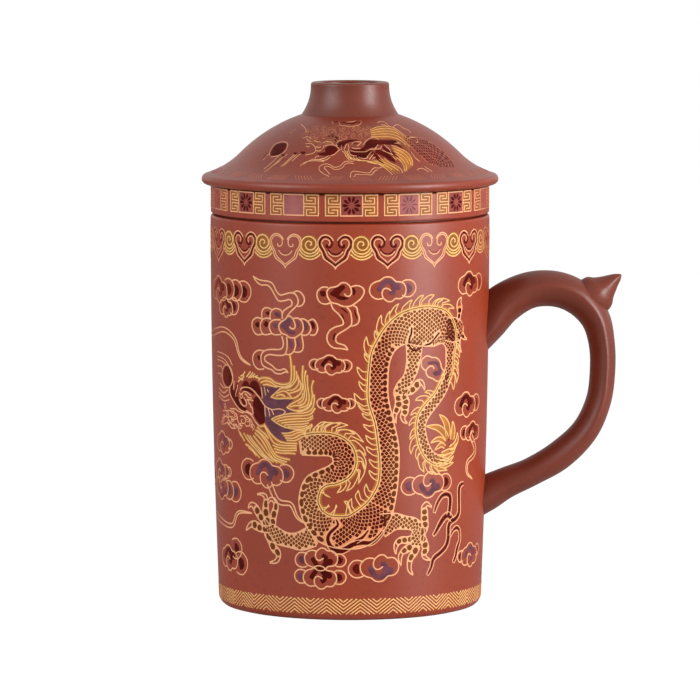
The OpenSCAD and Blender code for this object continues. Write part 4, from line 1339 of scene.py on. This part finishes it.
def dragon_legs(many):
    """Legs with scales between their edges, and toes of dark plates that taper to curved claws."""
    pitch = sizes().scale * LEG_PITCH
    for counts, (rows, *toes) in LEGS:
        strip = Strip(rows)
        many["net"].line(strip.ground(), section=BAND, smooth=False)
        many["scale"].cells(strip.scales(pitch, LEG_SCALE, LEG_ROOM, LEG_ROOM))
        for share in (1, -1):
            many["rose"].line(strip.edge(share), smooth=False, width=LEG_PEN)
        for plates, row in zip(counts, toes):
            strip = Strip(row)
            claw = strip.length * (SHORT_TOE if plates < 3 else LONG_TOE)
            many["net"].line(strip.ground(0, claw), section=BAND, smooth=False)
            along = claw * (np.arange(plates) + 0.5) / plates
            many["scale"].cells(strip.ovals(along, 0, claw / plates * 0.95, 2 * strip.width(along) - 0.1))
            two_edges(many["rose"], wider(row, 0, 2))
    for rows in BOLTS:
        many["dark"].brush(rows)
        two_edges(many["rose"], wider(rows, BOLT_AROUND), width=BOLT_PEN)


# The tail's flames: the greatest width of each, and its line from its root to its tip.
FLAME_WIDTHS = (1.7, 1.9, 1.6, 1.4, 1.3, 1.3, 1.2, 1.2, 1.1, 1.2, 1.1)
TAIL_FLAMES = paths_of("""
    29.4,48.4 28.2,50 25.8,51.6 22,52.2 / 29.8,49.2 29.4,51.6 28.4,53.4 26.5,55 / 31.4,48 31.8,50 31.8,51.6 31.4,52.9
    / 30.6,45.6 32.6,46.4 33.6,48 33.6,49.7 / 27.6,44.2 29.8,44.8 31.8,45 33.4,46.8 / 26,43.6 28.4,43.4 30.4,43.8
    32.4,44.6 / 25,42.8 27.6,42 30,42 32.2,43.4 / 26,41.8 28,41.2 30,41.2 32.1,41.7 / 25,41.4 26.6,40.4 28,40.2
    29.6,39.8 / 28.6,47.4 27,48.4 25.4,48.4 23.5,47.6 / 28.6,46.2 27.4,46.9 26.2,46.4 25,45.6""")
# Six-sided dabs between the flames' roots.
KNOT = points_of("28.6,47.2 30,48 30.4,46.6 29.2,45.6 30.6,45 31.8,46.2")
# Strands of the mane, each from its root to its tip, then the short hairs above the brow and below the chin.
MANE = paths_of("""
    -27,64.3 -25.9,65 -24.4,65.1 -22.8,64.9 -21.5,64.1 -19.9,63.7 -18.1,63.7 -16.7,64.3 -16.3,66 -16.3,68.4 -16.5,70.6
    -16.8,71.8 / -26.2,63.7 -24.6,64.3 -22.8,64.1 -21.2,63.2 -19.4,63 -17.3,63.4 -15.7,64.7 -15.4,66.8 -15.5,68.8 /
    -25.4,63.1 -24,63.4 -22.6,63.1 -20.8,62.8 / -18,62.6 -16.5,63.2 -15.2,64.5 -14.6,66 -14.9,67.4 / -17.8,62.1
    -15.7,62.4 -14.4,63.7 -14.1,65 -14.5,66.2 / -17.3,61.3 -15.4,61.8 -13.8,62.6 -13.6,63.9 -13.8,64.9 / -14.6,60.5
    -13.6,61.6 -13.1,62.9 -13.3,64.2 / -22.8,60.05 -21.2,61.3 -19.6,62.5 -18,62.8 -16.4,63.6 / -22.8,60.05 -20.7,59.7
    -18,60 -15.6,60.1 -14.2,60.9 / -20.9,61.1 -19.2,61.8 -18,61.8 -17,61 -16.4,60.3 / -21,60.4 -19.5,60.9 -18.3,60.4 /
    -14.4,58.7 -13.1,59.5 -12.5,61.3 -12.8,63.4 -13.1,66 -12.9,68.9 / -14.4,58.1 -12.5,58.9 -11.9,61 -12.3,63.7
    -12.5,65.8 -12.1,67.6 / -14.1,57.5 -11.7,58.4 -11.2,60.8 -11.6,63.4 -11.7,66.4 / -15.4,56.7 -12.8,57.1 -10.9,58.7
    -10.3,60.8 -10.5,63.2 -10,65 / -17.8,57.5 -16,56.9 -13.8,56.6 -11.7,57.4 -10.4,59 / -17.8,57.5 -16,58.7 -14.4,59.5
    -13.3,60.3 -12.9,61.6 / -16.8,57.7 -15.3,58.1 -13.4,58.2 / -22.7,54.1 -20.7,55 -18,55.7 -14.9,56.1 -12.3,56.3
    -10.4,57.4 -9.8,59.5 -9.9,61.3 / -21.7,53.9 -19.1,54.8 -15.9,55.3 -12.8,55.5 -10.7,56.1 -9.6,57.6 / -20.7,53.6
    -18,54.2 -14.9,54.6 -11.7,54.8 -10.2,55.6 / -19.6,53.2 -17,53.6 -13.8,53.9 -11.5,54.2 -10.2,55 / -18.6,52.7
    -15.9,53 -13.3,53.2 -11.4,53.6 / -17.5,52.3 -15.4,52.4 -13.3,52.5 -11.8,52.9 / -22.7,54.1 -20.7,53 -18,52.1
    -15,51.8 -12.8,52 -10.4,53.2 / -19.4,50.5 -17,50.7 -14.9,51.4 -12.8,51.5 -10.9,52.4 / -18.8,49.9 -16.5,50
    -14.4,50.9 -12.3,51.1 / -18.3,49.3 -15.9,49.3 -13.8,50.3 -12.4,50.8 / -17.9,48.7 -15.4,48.7 -13.3,49.7 -12.2,50.4
    / -25.2,52.5 -24.1,51.3 -22.5,49.7 -20.7,48.4 -18.6,47.9 -14.8,47.9 / -26.5,51.8 -25.2,52.1 -24.4,51.1 -23.3,49.5
    -22.5,48.2 -21.2,47.4 -19.1,47.2 -15,47.3 / -22.3,47.1 -20.7,46.6 -18,46.5 -15,46.7 / -21.9,46.2 -19.6,45.8
    -17,45.9 -15,46.1 / -21.6,45.3 -19.6,45.1 -16.9,45.2 -15.4,45.1 / -34.7,49.5 -33.9,48.6 -32.9,47.4 / -33.1,49.5
    -31.2,47.6 -28.6,45.8 -26.5,44.2 -24.6,43.2 / -31.6,49.2 -30.2,47.8 -27.9,46 -25.8,44.2 -23.4,43 / -30.6,49
    -29,47.5 -27,45.9 -25,44.1 -22.2,42.6 / -29.2,49.2 -27.5,47.7 -25.9,46.3 -24.1,44.5 -21,42.4 / -28.6,50 -26.7,48.7
    -25.2,47.1 -23.8,45.2 -22.2,43.4 -18.6,42.2 / -28.3,50.8 -26.2,49.5 -24.4,47.6 -23.3,45.8 -21.4,43.7 -18,42.8 /
    -27.5,50.6 -25.4,49.3 -23.8,47.7 -22.8,46.1 -21,44.2 -17,43.4 / -27.7,51.6 -26.2,50.6 -24.9,49.9 -23.8,48.8 /
    -31.2,45.8 -29.6,45 -28.2,43.8 / -32.4,46.6 -30.4,45.9 -28.6,44.6 -27,43.4""")
CREST = paths_of("""
    -33.3,65 -32.2,66.3 / -31.6,64.9 -29.9,66.5 / -30.8,64.7 -29,66.2 / -30,64.8 -28.3,65.9 / -29,65 -27.3,65.5 /
    -35,64.5 -33.6,64.2 -32.6,65.1 / -35.3,63.3 -34.2,64 -33,64 / -28,65 -26.6,64.9 / -34.2,64.9 -32.8,65.4""")
BEARD = paths_of("""
    -34.6,54 -33.6,54.2 -32.5,53.7 -32.3,52.6 -33.3,52.1 -34.2,52.5 -33.8,53.2 / -32.7,54.4 -31.4,54.1 -30.5,53
    -30.6,51.9 -31.6,51.5 -32.4,51.9 / -36,53.9 -35.7,52.6 -34.8,51.8 -33.6,51.4 / -30.5,53.7 -29.6,52.7 -29.8,51.6 /
    -39.6,55.6 -37,55.8 -35,55.2 -33,55 / -44,54.6 -41,55 -38,54.9 -36,54.2 / -45,52.4 -42,53.3 -40,52.2 -38,51.2
    -36.5,51.6 -35.4,50.2 -34.6,48.6 / -43.6,51 -41,51.6 -39,50.4 -37.2,50.5 / -41,53 -39.6,53.6 -38.4,52.6 -37.2,52.9
    / -47,60.5 -43.4,59.6 -40.6,60.7 / -47,59.4 -43.4,58.4 -40.3,59.3 / -47,58.4 -43.4,57.4 -40,58 / -46,62 -43.4,61
    -41,61.3 / -48,69.2 -43.4,68.9 -40.6,67.8 -38.9,66 -38,64.2 -38.6,62.2 / -48,68.2 -44.2,68.1 -41.6,67.4 / -48,70.4
    -43,70.2 -40,69.4 -38,67.6 / -48,66.4 -45,66.6 -43.6,65.6 / -48,64.4 -45.4,64.6 -44,63.4""")
BEARD_CURLS = points_of("""
    -38.4,55.2 -36.6,53.6 -38.6,52.7 -41.2,54.2 -43.4,53 -40.6,51.6 -44.8,51.4 -37,51.2 -31.4,53.2 -29.6,51.6
    -42.6,56.2 -34.6,51.2""")
# The horns. The face's dark shapes: brow bumps, cheek, and strokes of the muzzle with their widths. Its lines.
SPIKES = paths_of("""
    -26,63.2 -24.5,62.7 -22.3,62.9 -19.4,63 -21,61.6 -22.8,60.1 -24.5,60 -26,60.5 / -26,61 -22.8,60.1 -20.7,59.6
    -18,59.7 -15.4,60.05 -16.7,58.7 -17.8,57.5 -20,57 -23,56.6 -25.4,57.4 / -25.2,57.4 -22,57.4 -17.8,57.5 -16.5,56.8
    -15,56.3 -18,55.4 -20.7,55.1 -22.6,54.2 -25.2,54 / -25.4,55.5 -22.6,54.2 -21.2,53.2 -18,52.1 -15,51.8 -17.3,50.7
    -19.4,50.5 -22,50.5 -24.6,52.4 / -24.6,52.6 -22,52 -19.4,50.5 -18.6,49.5 -17.7,48.2 -19.9,48.6 -21.7,49.5
    -23.3,50.8""")
FACE = paths_of("""
    -33.6,62.1 -33.1,63.2 -32.2,63.8 -31.2,63.7 -30.5,63 -30.3,62.1 / -30.2,62.3 -29.9,63.6 -28.6,64.2 -27.3,63.7
    -26.3,62 -25.9,59.8 -27,60.3 -28.4,61.3 / -29,59.2 -27.4,59.9 -26.2,58.6 -25.2,57.4 -25,55.3 -24.9,53.2 -26.2,52.5
    -27,52.6 -28.6,54.2 -29.1,55.3 -28.8,56.3 -29.3,57.4""")
MUZZLE = paths_of("""
    -38.3,62.6,0.6 -38.4,60.6,2 -37,59,2.4 -35,57.2,1.8 -33.4,56.3,1.1 -31.8,56,0.8 / -35.7,63,0.4 -36,61.6,1.2
    -36.4,60,1.4 -36.4,58.8,0.8 / -34,59,0.3 -33.2,58.3,1.1 -32.3,57.4,1 -32,56.9,0.3 / -33.6,61.1,0.3 -32.2,61.5,0.8
    -30.5,61.3,0.9 -28.8,60.5,0.5""")
FACE_LINES = paths_of("""
    -34.4,61.1 -33.6,61.8 -32,62.1 -30.2,62 -28.6,61.2 -27.3,60.1 -25.9,58.7 -24.6,57.4 -23.3,56.9 -22.1,56.7 -20.4,57
    -18.8,56.8 -18.2,56.3 -19.1,55.5 -20.2,55 / -34.9,60.3 -33.8,60 -32.8,60.8 -31.7,60.8 -30.7,60.4 -29.9,59.9 /
    -39.6,61.3 -39.5,59.7 -38,58.2 -36,56.6 -33.8,55.5 -31.2,55.2 -29.6,54.4 -28.3,52.9 -26.7,51.8 / -32,55.8
    -30.4,55.2 -29.2,54.9 / -37.7,61 -37.4,62.2 -37.3,63.4 / -36.5,59.2 -36.4,60.2 -35.7,61.4 -35.6,62.4 / -34.9,58.6
    -34,57.4 -32.8,56.9 -31.8,57.2 -31.9,58.2 -32.8,59.2 / -32.4,60.2 -31.6,60.1 -31.2,59.5 -29.7,59.3 / -31.6,58.7
    -30.2,58.8 -29,58.6 / -31.2,59 -30.9,57.9 -30.2,57.6 -30.1,56.8 -29.4,56.8 -29.5,55.8 -28.9,55.3 / -26,62.4
    -25.8,61 -25.7,59.6 / -25,62.6 -24.7,61.4 -24.5,60.4 / -24,62.1 -23.5,61.3 / -24.9,57.6 -24.8,56 -24.6,54.7 /
    -23.8,57.1 -23.4,56 -23.2,54.8 / -22.6,56.6 -22.2,56 -21.9,55.3""")
# Middles of the pearl and the eye. The pearl: half its width and height, and those of the ring round it.
PEARL, EYE, EYE_R = (-41.0, 64.3), (-34.0, 59.5), 0.6
PEARL_HALF, PEARL_RING = (2.8, 2.7), (3.2, 3.1)
# The purple stroke in the jaws, with its widths.
JAW = points_of("-47,57,1 -44,56.3,2 -41.6,57,0.3")
# Widths of lines: the mane's strands and the ground below them, the crest, the beard and its curls, the face, the
# pearl's ring and the eye's.
STRAND_PEN, STRAND_GROUND, CREST_PEN, BEARD_PEN, BEARD_CURL_PEN = 0.42, 0.95, 0.45, 0.36, 0.26
FACE_PEN, PEARL_PEN, EYE_PEN = 0.38, 0.34, 0.3


def dragon_head(many):
    """Dark face, purple horns, a pearl before the jaws, and the golden mane's strands over an ochre ground. The
    tail's flames are drawn with them, as they are made alike."""
    for strand in MANE:
        many["ochre"].line(strand, width=STRAND_GROUND, section=BRUSH)
        many["gold"].line(strand, width=STRAND_PEN)
    many["gold"].lines(CREST, width=CREST_PEN)
    many["rose"].lines(BEARD, width=BEARD_PEN)
    for k, at in enumerate(BEARD_CURLS):
        curl = spiral(at, 0.95, 1.3, 70 * k, 1 if k % 2 else -1, 0.25, 14)
        many["rose"].line(curl, smooth=False, width=BEARD_CURL_PEN, step=0.35)
    for wide, rows in zip(FLAME_WIDTHS, TAIL_FLAMES):
        path = even(curve(rows, 10), 0.5)
        width = wide * np.sin(np.linspace(0.9, math.pi, len(path))) ** 0.8
        many["ochre"].brush(np.column_stack([path, np.maximum(width - 0.2, 0.1)]))
        two_edges(many["gold"], np.column_stack([path, width]), width=FLAME_PEN)
    many["maroon"].cells(np.array(KNOT)[:, None] + 0.25 * ring_points(0, 0, 1, 1, 6))
    for outline in SPIKES:
        many["purple"].fill(cornered(outline + outline[:1])[:-1], smooth=False)
    for outline in FACE:
        many["maroon"].fill(outline)
    for rows in MUZZLE:
        many["maroon"].brush(rows)
    many["maroon"].fill(ring_points(*PEARL, *PEARL_HALF), smooth=False)
    many["rose"].line(ring_points(*PEARL, *PEARL_RING), closed=True, width=PEARL_PEN)
    many["rose"].line(ring_points(*EYE, EYE_R, EYE_R), closed=True, width=EYE_PEN)
    many["purple"].brush(JAW)
    many["rose"].lines(FACE_LINES, width=FACE_PEN)


# ------------------------------------------------------------------ lid's drawing

# Filled shapes, brushed strokes with their widths, and lines. Places are millimetres round the lid and minus the
# radius.
LID_FILLS = paths_of("""
    -22,-29.3 -22.7,-28.6 -23.1,-27.7 -23.3,-26.6 -22.4,-25.9 -20.9,-25.6 -19.4,-26 -18.6,-27 -18.6,-27.9 -19.1,-28.8
    -20,-29.3 -21.2,-29.5 / -6.5,-27.7 -6.8,-27 -6.5,-26.4 -5.8,-26 -4.6,-26.1 -3.7,-26.5 -3.3,-27.1 -3.4,-27.7
    -3.9,-28.3 -4.7,-28.7 -5.7,-28.9 -6.3,-28.4""")
LID_DARK = paths_of("""
    -8.4,-28.5,0.1 -7.6,-28.5,0.5 -6.6,-28.5,0.9 -5.6,-28.3,0.9 / -3.4,-26,0.8 -2.7,-25.6,1.5 -1.6,-25,1.1
    -0.2,-24.4,0.7 1.3,-24.3,0.4 3,-24.1,0.1 / -2.3,-26.8,0.2 -2,-26.1,0.5 -1.6,-25.3,0.5 / 3,-27.1,0.4 4.2,-26.7,0.9
    5.5,-25.7,1.8 6.8,-25.2,2.2 8,-25,1.5 9.9,-25,1.2 11.7,-25.1,1.3 13.2,-25.3,1.2 14.1,-26,0.7 14.5,-26.8,0.5
    14.9,-27.4,0.1 / 12,-24.6,0.5 13.6,-24.7,0.5 15.2,-24.9,0.1 / 0,-26.9,0.2 1.2,-27.3,0.4 2.5,-27.4,0.5
    3.8,-27.4,0.5 / 0.1,-27.9,0.6 0.9,-28.3,1 1.9,-28.6,1.2 2.8,-28.8,1.6 3.9,-28.5,1.5 5,-27.9,0.9 5.6,-27.5,0.3 /
    6.9,-27.8,0.9 8.1,-28.2,1.2 9.3,-28.8,1.3 10,-29.7,1.2 10.6,-30.3,0.8 10.8,-31,0.1 / 9.2,-26.3,0.6 9.8,-27.3,0.8
    10.7,-28.1,0.7 11.5,-28.6,0.7 12.1,-29.2,0.4 12.5,-29.6,0.1 / 5.5,-28,0.8 6.4,-28.9,0.9 7,-29.7,0.9 7.5,-30.4,0.7
    7.9,-31.1,0.1 / -3.8,-16.5,0.2 -1.6,-16.7,0.5 0.2,-17.3,0.5 2.4,-16.6,0.5 4.2,-16.5,0.2 / -6.9,-16.2,0.3
    -5.7,-16.2,0.4 / -7.5,-23,0.2 -6.1,-22.4,0.6 -4.6,-23,0.6 -3.5,-23.9,0.2 / -4.6,-23.9,0.3 -4,-24.7,0.4
    -3.8,-25.7,0.2 / -15.1,-28.4,0.2 -14.5,-28.6,0.6 -14.1,-28.5,0.2 / -13.2,-28.1,0.2 -12.2,-28.3,0.7 -11.8,-28.2,0.2
    / -18.7,-28.9,0.2 -17.6,-29.3,0.4 -17.3,-30,0.3 -17.6,-30.6,0.1 / -23.7,-30.3,0.2 -23.7,-29.6,0.3 -23.3,-28.9,0.2
    / 0.5,-25.3,0.1 1.3,-25.1,0.4 2.1,-25.2,0.3""")
LID_LINES = paths_of("""
    -22.3,-29.4 -23.1,-28.7 -23.6,-27.6 -23.8,-26.4 -22.8,-25.6 -21.1,-25.3 -19.2,-25.7 -18.2,-27.1 -18.1,-28.1
    -18.7,-29 -19.8,-29.5 -21.3,-29.8 / -7.4,-27 -7.2,-26.2 -5.8,-25.8 -4.5,-25.8 -3.5,-26.4 -2.8,-27.3 -3.3,-27.8
    -4,-28.6 -4.8,-28.9 / -11.6,-25.4 -10.7,-25.8 -9.8,-26.5 -9.2,-27.4 -9.3,-28.1 -10.3,-28.6 -11.5,-28.9 /
    -13.1,-25.6 -12.3,-25.5 -11.6,-25.5 / -12.6,-26.3 -11.8,-26.6 -11.4,-26.3 / -20.6,-33.4 -19.5,-30.3 -19,-29.4 /
    -19.6,-34.5 -18.4,-30.9 -17.6,-29.4 / -19,-32.4 -17.5,-30.1 -16.8,-28.8 / -16.5,-32.3 -15.8,-30.8 -15,-29.3
    -14.6,-28.9 / -15.9,-32.1 -15.2,-30.5 -14,-28.9 / -14.3,-30.6 -13.6,-29.3 -13,-28.7 / -23.3,-30.7 -23.3,-29.6
    -22.7,-29 / -11.6,-31.9 -10.9,-30.8 -9.6,-30.4 -7.9,-30.3 -6.2,-30.5 / -11,-31.4 -10.3,-30.6 -9.2,-30 -7.7,-30
    -6.2,-30.2 / -8.6,-29.7 -8.5,-29.2 -7.8,-29.1 / -7.4,-29.9 -6.2,-29.6 -5.3,-28.9 / -6.7,-30.3 -5.5,-29.9
    -4.9,-29.2 / 0.8,-30.4 -0.3,-30.3 -1.3,-30.5 -1.9,-31.2 -2.4,-31.8 -3.5,-32.1 -4.4,-31.5 -5.3,-31.1 -6.1,-31.2
    -6.7,-31.6 -7,-32.3 -6.6,-33.3 -5.6,-34.4 -4.3,-35.5 / 0.8,-31 -0.3,-30.8 -1.2,-31.2 -1.6,-32 -2.2,-32.6
    -3.4,-32.8 -4.4,-32.1 -5.3,-31.8 -5.8,-32.3 -5,-33.3 -4.2,-34.6 / 7.2,-32.2 6.4,-32.4 5.5,-32.3 4.9,-32.8
    4.4,-33.7 3.9,-34.1 3,-33.9 1.8,-33.6 0.8,-33.4 0.2,-34.1 0.1,-35.8 / 6.1,-33 5.4,-33.3 4.9,-34.1 4.4,-34.9
    3.4,-34.7 2.1,-34.8 1.3,-34.5 0.8,-35.6 / 0.1,-27.5 1.1,-27.8 2.2,-27.9 3.2,-27.9 4.3,-27.8 5.4,-27.2 6.6,-27.1
    7.7,-27.1 8.3,-26.9 9,-26.2 / 9.8,-25.8 10.3,-26.6 10.7,-27.3 10.8,-28.1 10.9,-28.8 / 8.6,-27.5 9.4,-28 10.3,-28.4
    11.1,-28.8 / 8,-25.7 7.3,-26.4 6.8,-27 / 5.6,-27.9 4.9,-28.6 4.2,-29.3 / 6,-28.5 5.3,-29.2 4.7,-29.9 / 6.3,-29.3
    5.4,-29.9 / 7.2,-28.8 7.4,-29.4 7.9,-30.1 / 10.9,-29.2 11.2,-29.8 11.6,-30 / -0.6,-25.4 -0.3,-26.4 -0.4,-27.3
    -0.2,-27.9 0.1,-28.6 0.8,-28.9 1.7,-29 / 2.1,-29.3 2.8,-29.6 3.7,-29.7 4.5,-29.3 / 0.5,-25.5 1.3,-24.8 2.5,-24.7
    3.3,-24.9 2.7,-25.5 2,-26.1 / 0.5,-26.7 1.6,-26.9 2.8,-26.8 / -1,-25.4 -1.3,-26.4 -1.6,-27.1 / -2.4,-25.9
    -2.2,-26.5 -2.4,-27.3 / -3.5,-26 -4,-25.4 -3.4,-24.6 -2.4,-24.1 / 3.7,-25.8 4.5,-24.7 5.8,-23.7 7.4,-23.3
    8.4,-23.6 8.7,-24.1 / 13.2,-25.4 14,-25.6 14.9,-25.8 / 14.1,-25 14.9,-25.3 / -4.9,-16.5 -3.9,-18 -1.8,-18.3
    0.2,-18.6 2.2,-18.2 3.9,-17.7 5,-16.6 4.9,-15.5 / -1.8,-16.5 0.2,-16.1 1.5,-16.2 2.6,-15.4 / -7.1,-17.3 -8.4,-15.9
    / 12.2,-16.9 13.7,-16.3 15.7,-16.4 16.1,-17.4 16.3,-18.7 / 13.4,-17.8 14.5,-18.1 15,-19.1 / 17.1,-19.7 19.2,-18.5
    21.4,-18.3 21.6,-19.3 21.9,-20.2 / 21.5,-19.7 22.7,-20.7 22.9,-22 / 16.7,-28.2 16.9,-29.8 17.6,-30.8 / 17.9,-32.4
    18.4,-33.3 18.8,-34.3 / 15.3,-33.4 16.4,-32.9 17.3,-33.2 17.7,-34.4 / 19.3,-24 20.8,-23.7 22.3,-24 22.1,-25.1
    20.8,-25.6 / -21.9,-18.1 -18,-19.6 -15.7,-21.3 / -15,-23.8 -14,-23.1 -12.1,-23.9 / -13.8,-23.9 -12.3,-24.8
    -11.3,-24.8""")
LID_GOLD = paths_of("""
    -2,-27.6 -1.3,-28.3 -0.9,-29.2 -0.2,-29.9 / -1.5,-27.4 -0.8,-28.4 -0.4,-29.2 0.4,-29.9 / -0.8,-27.6 -0.4,-28.6
    0.3,-29.5 1.2,-30.1 / 0.8,-29.4 1.5,-30 2.5,-30.2 / 1.5,-29.5 2.5,-30.1 3.9,-30.3 5.3,-30.5 / 4.1,-30.5 5.7,-31
    7.1,-31.3 7.8,-31.9 / -10.9,-24.4 -9.7,-24.9 -8.8,-24.8 / -9.6,-26.4 -8.7,-26.7 -8.1,-26.4 / -9,-27.6 -8.2,-27.7
    -7.7,-27.4 / -8,-25.2 -7,-24.7 -5.7,-24.9 -4.8,-25.4""")
# The mane: how many strands, and the two curves that they lie between.
LID_MANE = [
    (11, paths_of("""
    7.4,-20.1 10.8,-18.9 14.5,-18.6 17.4,-19.5 18.6,-21.8 18.9,-24.3 / 6.7,-23.2 9.5,-23.6 12.5,-23.7
    14.7,-24.5 16.1,-26 16.5,-27.9""")),
    (10, paths_of("""
    11.9,-26 13.8,-27 15.5,-28.3 15.8,-30.2 14.8,-32 / 11.7,-29.6 12.4,-30.4 12.6,-31.6 12.3,-33 11.5,-34.3""")),
    (8, paths_of("""
    8.5,-29.7 9.6,-31 10.8,-31.8 11.6,-33 11.3,-34.3 / 4.3,-30.5 6.4,-31.1 7.8,-32.3 8.5,-33.7 8.9,-34.9"""))]
LID_BODY = points_of("18.2,-23.8,1.3 20,-25.6,2.7 22,-27.4,4 23.8,-29.2,4.6 24.8,-31.2,4.2 24.6,-33.4,2.8")
LID_CURLS = points_of("""
    -9.4,-21 -10.5,-22.8 -14,-20.4 -13.1,-19.1 -7.6,-19.9 -5.7,-19.5 -3.1,-20.1 -0.9,-21 0.9,-20 2.9,-20.9 5.2,-20.3
    -1.5,-23 0.8,-22.6 3,-22.7 5.1,-22.2 -8.2,-23.3 -6.2,-24.4 -9.2,-25.3 -7,-25.7 -12.7,-22.8 -15.1,-22.1 -22,-21.5
    -3.2,-22 -5.7,-21.2 7,-19.2 -0.2,-18.6 3.6,-19.1 -11.6,-20.9 -11.9,-24.3 -4.5,-23.2 -10.2,-19.1 -2,-19.2 1.9,-19.2
    -8.9,-21.9 6.5,-21.2 4.1,-21.4 -15.9,-20.7 7.2,-22.4 -7.4,-21.6""")
# Hatching near the brim: groups, lines in each, radius, a line's length, how far it leans and its width.
HATCH_GROUPS, HATCH_LINES, HATCH_R, HATCH_LONG, HATCH_LEAN, HATCH_PEN = 30, 6, 36.6, 2.4, 1.1, 0.13
# The neck's scales: pitch, a scale's share of its place and the room at the edges.
NECK_PITCH, NECK_SCALE, NECK_ROOM = 0.85, 0.62, 0.25
# How much wider the dark strokes are drawn. Widths of lines: pale, golden, curls, the neck and the ochre strands.
LID_BRUSH = 1.25
LID_PEN, LID_GOLD_PEN, LID_CURL_PEN, NECK_PEN, LID_OCHRE_PEN, LID_STEP = 0.17, 0.2, 0.16, 0.15, 0.28, 0.3


def lid_drawing(many):
    """The same kind of dragon over the dome: its pearl, its dark face, curls and a golden mane, streamers under
    its chin, the scaled neck behind and clouds above, with hatching near the brim."""
    for outline in LID_FILLS:
        many["maroon"].fill(outline)
    for rows in LID_DARK:
        many["maroon"].brush(wider(rows, 0, LID_BRUSH), step=LID_STEP)
    many["rose"].lines(LID_LINES, width=LID_PEN, step=LID_STEP)
    many["gold"].lines(LID_GOLD, width=LID_GOLD_PEN, step=LID_STEP)
    for k, at in enumerate(LID_CURLS):
        for radius, turn in ((1.15 + 0.3 * (k % 3), 0), (0.75, 150)):
            curl = spiral(at, radius, 0.9, 70 * k + turn, 1 if k % 2 else -1, 0.3, 12)
            many["copper"].line(curl, smooth=False, width=LID_CURL_PEN, step=LID_STEP)
    for number, (first, last) in LID_MANE:
        for k, strand in enumerate(locks(first, last, number * 2 - 3)):
            name, width = ("gold", LID_PEN) if k % 4 == 0 else ("ochre", LID_OCHRE_PEN)
            many[name].line(strand, smooth=False, width=width)
    strip = Strip(LID_BODY)
    many["maroon"].cells(strip.scales(NECK_PITCH, NECK_SCALE, NECK_ROOM, NECK_ROOM))
    for share in (1, 0.33, -0.33, -1):
        many["copper"].line(strip.edge(share), smooth=False, width=NECK_PEN)
    share = np.linspace(-0.5, 0.5, 5)
    for k in range(HATCH_GROUPS):
        lean = HATCH_LEAN if k % 2 else -HATCH_LEAN
        s = (k + 0.7 * (np.arange(HATCH_LINES) + 0.5) / HATCH_LINES)[:, None] * TAU * LID_ROUND / HATCH_GROUPS
        many["faint"].strokes(np.stack([s + lean * share, -HATCH_R + HATCH_LONG * share + 0 * s], -1), HATCH_PEN)


class MUG_OT_borders(bpy.types.Operator):
    """Draw the cloud-head border, the zigzags at the foot and the frets on the collar"""

    bl_idname = "mug.borders"
    bl_label = "Borders"

    def execute(self, context):
        many = inks(on_wall, "bronze", "wine", "gold", "rose", "dark")
        ruyi_border(many)
        zigzag_border(many)
        lay(many, "border", "mug")
        many = inks(on_collar, "bronze", "wine", "mauve", "purple", "dark", "rose")
        fret_border(many)
        lay(many, "collar", "infuser")
        return {"FINISHED"}


class MUG_OT_clouds(bpy.types.Operator):
    """Draw the clouds and their streamers, on the front and on round the back"""

    bl_idname = "mug.clouds"
    bl_label = "Clouds"

    def execute(self, context):
        many = inks(on_wall, "maroon", "purple", "rose")
        for puff in CLOUDS:
            cloud(many, *puff)
        for (fill, _, *rest), at in zip(CLOUDS, BACK_CLOUDS):
            cloud(many, fill, at, *rest)
        for points, gap, root in STREAMERS:
            streamer(many["rose"], points, gap, root)
        many["rose"].lines(CLOUD_LINES)
        for name, dabs in CLOUD_DABS.items():
            for rows in dabs:
                many[name].brush(rows)
        lay(many, "clouds", "mug")
        return {"FINISHED"}


class MUG_OT_dragon(bpy.types.Operator):
    """Draw the dragon: its body, its legs and its head with the mane"""

    bl_idname = "mug.dragon"
    bl_label = "Dragon"

    def execute(self, context):
        for name, draw in (("body", dragon_body), ("legs", dragon_legs), ("head", dragon_head)):
            many = inks(on_wall, "net", "ochre", "scale", "maroon", "purple", "dark", "rose", "gold")
            draw(many)
            lay(many, f"dragon_{name}", "mug")
        return {"FINISHED"}


class MUG_OT_lid_drawing(bpy.types.Operator):
    """Draw the lid's dragon, clouds and hatching"""

    bl_idname = "mug.lid_drawing"
    bl_label = "Lid's drawing"

    def execute(self, context):
        many = inks(on_lid, "faint", "ochre", "maroon", "copper", "rose", "gold")
        lid_drawing(many)
        lay(many, "lid", "lid")
        return {"FINISHED"}


OPERATORS = (MUG_OT_mug, MUG_OT_handle, MUG_OT_infuser, MUG_OT_lid, MUG_OT_borders, MUG_OT_clouds,
             MUG_OT_dragon, MUG_OT_lid_drawing, MUG_OT_stage)


class MUG_PT_panel(bpy.types.Panel):
    """Lists the sizes, the colours and the steps"""

    bl_idname = "MUG_PT_panel"
    bl_label = "Tea mug"
    bl_space_type = "VIEW_3D"
    bl_region_type = "UI"
    bl_category = "Tea mug"

    def draw(self, context):
        for name, group in GROUPS.items():
            box = self.layout.box()
            for key in group.__annotations__:
                box.prop(getattr(context.scene, name), key)
        for step in OPERATORS:
            self.layout.operator(step.bl_idname)


def register():
    for cls in (*GROUPS.values(), *OPERATORS, MUG_PT_panel):
        bpy.utils.register_class(cls)
    for name, group in GROUPS.items():
        setattr(bpy.types.Scene, name, PointerProperty(type=group))


def unregister():
    for name in GROUPS:
        delattr(bpy.types.Scene, name)
    for cls in reversed((*GROUPS.values(), *OPERATORS, MUG_PT_panel)):
        bpy.utils.unregister_class(cls)


def main():
    register()
    for step in OPERATORS:
        group, name = step.bl_idname.split(".")
        getattr(getattr(bpy.ops, group), name)()


if __name__ == "__main__":
    main()
